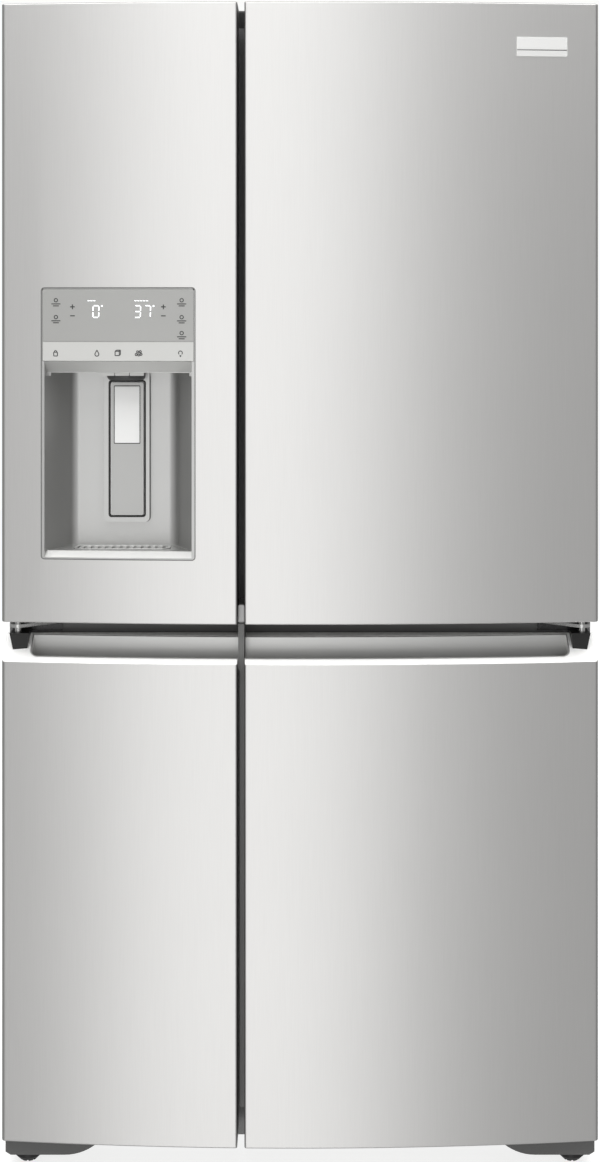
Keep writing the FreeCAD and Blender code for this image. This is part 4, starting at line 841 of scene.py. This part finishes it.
def make_inside_trim():
    """Front trims on the glass shelves, and lamp bars under the roof of each column."""
    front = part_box("shelves")[0].y
    mesh = bmesh.new()
    for x_span, levels in UPPER_SHELVES + LOWER_SHELVES:
        for z in levels:
            add_block(mesh, (x_span[0] + 0.002, front - 0.006, z - 0.004),
                      (x_span[1] - 0.002, front + 0.0006, z + 0.010), 0.002)
    piece("shelf_trims", mesh, TRIM_SATIN, "cabinet", 40)
    mesh = bmesh.new()
    for x_span in (FREEZER_X, FRIDGE_X):
        add_block(mesh, (x_span[0] + 0.05, LAMP_BAR_Y[0], LAMP_BAR_Z[0]),
                  (x_span[1] - 0.05, LAMP_BAR_Y[1], LAMP_BAR_Z[1]), 0.0015)
    piece("lamp_bars", mesh, LED_BAR, "cabinet", 40)


# ---------------------------------------------------------------- floor, light and camera

FLOOR_GLOW = 0.80


def make_floor():
    """A pale, softly glowing floor, which the satin door fronts don't mirror."""
    mesh = bmesh.new()
    bmesh.ops.create_grid(mesh, x_segments=8, y_segments=8, size=9.0)
    data = bpy.data.meshes.new("studio_floor")
    mesh.to_mesh(data)
    mesh.free()
    floor = bpy.data.objects.new("studio_floor", data)
    bpy.context.scene.collection.objects.link(floor)
    kit = Shader("pale_floor", roughness=0.85)
    slow = kit.noise(2.0, detail=2.0)
    kit.colour(kit.two_tone(slow, grey(0.30), grey(0.32)))
    glow = kit.two_tone(slow, (0.98, 0.985, 0.98), (1.0, 1.0, 0.995))
    kit.link(glow, kit.bsdf, "Emission Color")
    socket(kit.bsdf, "Emission Strength", FLOOR_GLOW)
    data.materials.append(kit.material)
    floor.visible_glossy = False
    floor.visible_shadow = False


def area_light(name, place, target, size, radiance):
    """A soft box whose face glows with the given radiance; the camera doesn't see it."""
    data = bpy.data.lights.new(name, "AREA")
    data.shape = "RECTANGLE"
    data.size, data.size_y = size
    data.energy = radiance * math.pi * size[0] * size[1]
    lamp = bpy.data.objects.new(name, data)
    bpy.context.scene.collection.objects.link(lamp)
    lamp.location = place
    lamp.rotation_euler = (Vector(target) - Vector(place)).to_track_quat("-Z", "Y").to_euler()
    lamp.visible_camera = False


WORLD_RADIANCE = 0.36
PANEL_Y = -5.2
PANEL_CENTRE_Z = 0.0
PANEL_HEIGHT = 8.0
PANEL_X = (-1.63, 0.67)
PANEL_RADIANCE = 0.94
OVERHEAD_Y, OVERHEAD_Z, OVERHEAD_SIZE = -0.9, 4.2, 7.0
OVERHEAD_RADIANCE = 2.5
BACKDROP = (0.97, 0.975, 0.965)          # what the camera sees behind the object


def make_light():
    """A tall soft box in front, left of the centre, a wide one overhead, and a plain pale world."""
    x = sum(PANEL_X) / 2
    area_light("front_panel", (x, PANEL_Y, PANEL_CENTRE_Z), (x, 0, PANEL_CENTRE_Z),
               (PANEL_X[1] - PANEL_X[0], PANEL_HEIGHT), PANEL_RADIANCE)
    area_light("overhead", (0, OVERHEAD_Y, OVERHEAD_Z), (0, OVERHEAD_Y, 0),
               (OVERHEAD_SIZE, OVERHEAD_SIZE), OVERHEAD_RADIANCE)
    world = bpy.data.worlds.new("studio_world")
    bpy.context.scene.world = world
    world.use_nodes = True
    nodes, links = world.node_tree.nodes, world.node_tree.links
    background = nodes["Background"]
    background.inputs["Color"].default_value = (*grey(WORLD_RADIANCE), 1)
    seen = nodes.new("ShaderNodeBackground")
    seen.inputs["Color"].default_value = (*BACKDROP, 1)
    path = nodes.new("ShaderNodeLightPath")
    mix = nodes.new("ShaderNodeMixShader")
    links.new(path.outputs["Is Camera Ray"], mix.inputs["Fac"])
    links.new(background.outputs["Background"], mix.inputs[1])
    links.new(seen.outputs["Background"], mix.inputs[2])
    links.new(mix.outputs["Shader"], nodes["World Output"].inputs["Surface"])


CAMERA_DISTANCE = 3.0                    # from the front of the bow
CAMERA_LENS, CAMERA_SENSOR = 61.5, 36.0
CAMERA_SHIFT = -0.245
TOP_MARGIN = 1.0                         # pixels between the picture's upper edge and the object


def make_camera():
    """A level camera in front; the shift frames the object from top to bottom."""
    data = bpy.data.cameras.new("camera")
    camera = bpy.data.objects.new("camera", data)
    bpy.context.scene.collection.objects.link(camera)
    data.lens = CAMERA_LENS
    data.sensor_width = CAMERA_SENSOR
    data.shift_y = CAMERA_SHIFT
    data.clip_end = 60.0
    per_metre = CAMERA_LENS / CAMERA_SENSOR * PICTURE_HEIGHT / CAMERA_DISTANCE
    horizon = PICTURE_HEIGHT * (0.5 + CAMERA_SHIFT)
    eye = BOX_HIGH.z - (horizon - TOP_MARGIN) / per_metre
    camera.location = (0.0, BOX_LOW.y - CAMERA_DISTANCE, eye)
    camera.rotation_euler = (math.radians(90), 0, 0)
    bpy.context.scene.camera = camera
    bpy.context.scene.view_settings.view_transform = "Standard"


# ---------------------------------------------------------------- build

finish_cad_nodes()
make_display()
make_dispenser_seam_and_boss_shadow()
make_paddle_trim()
make_nozzle()
make_tray_rim()
make_posts()
make_badge_trim()
make_inside_trim()
make_floor()
make_light()
make_camera()
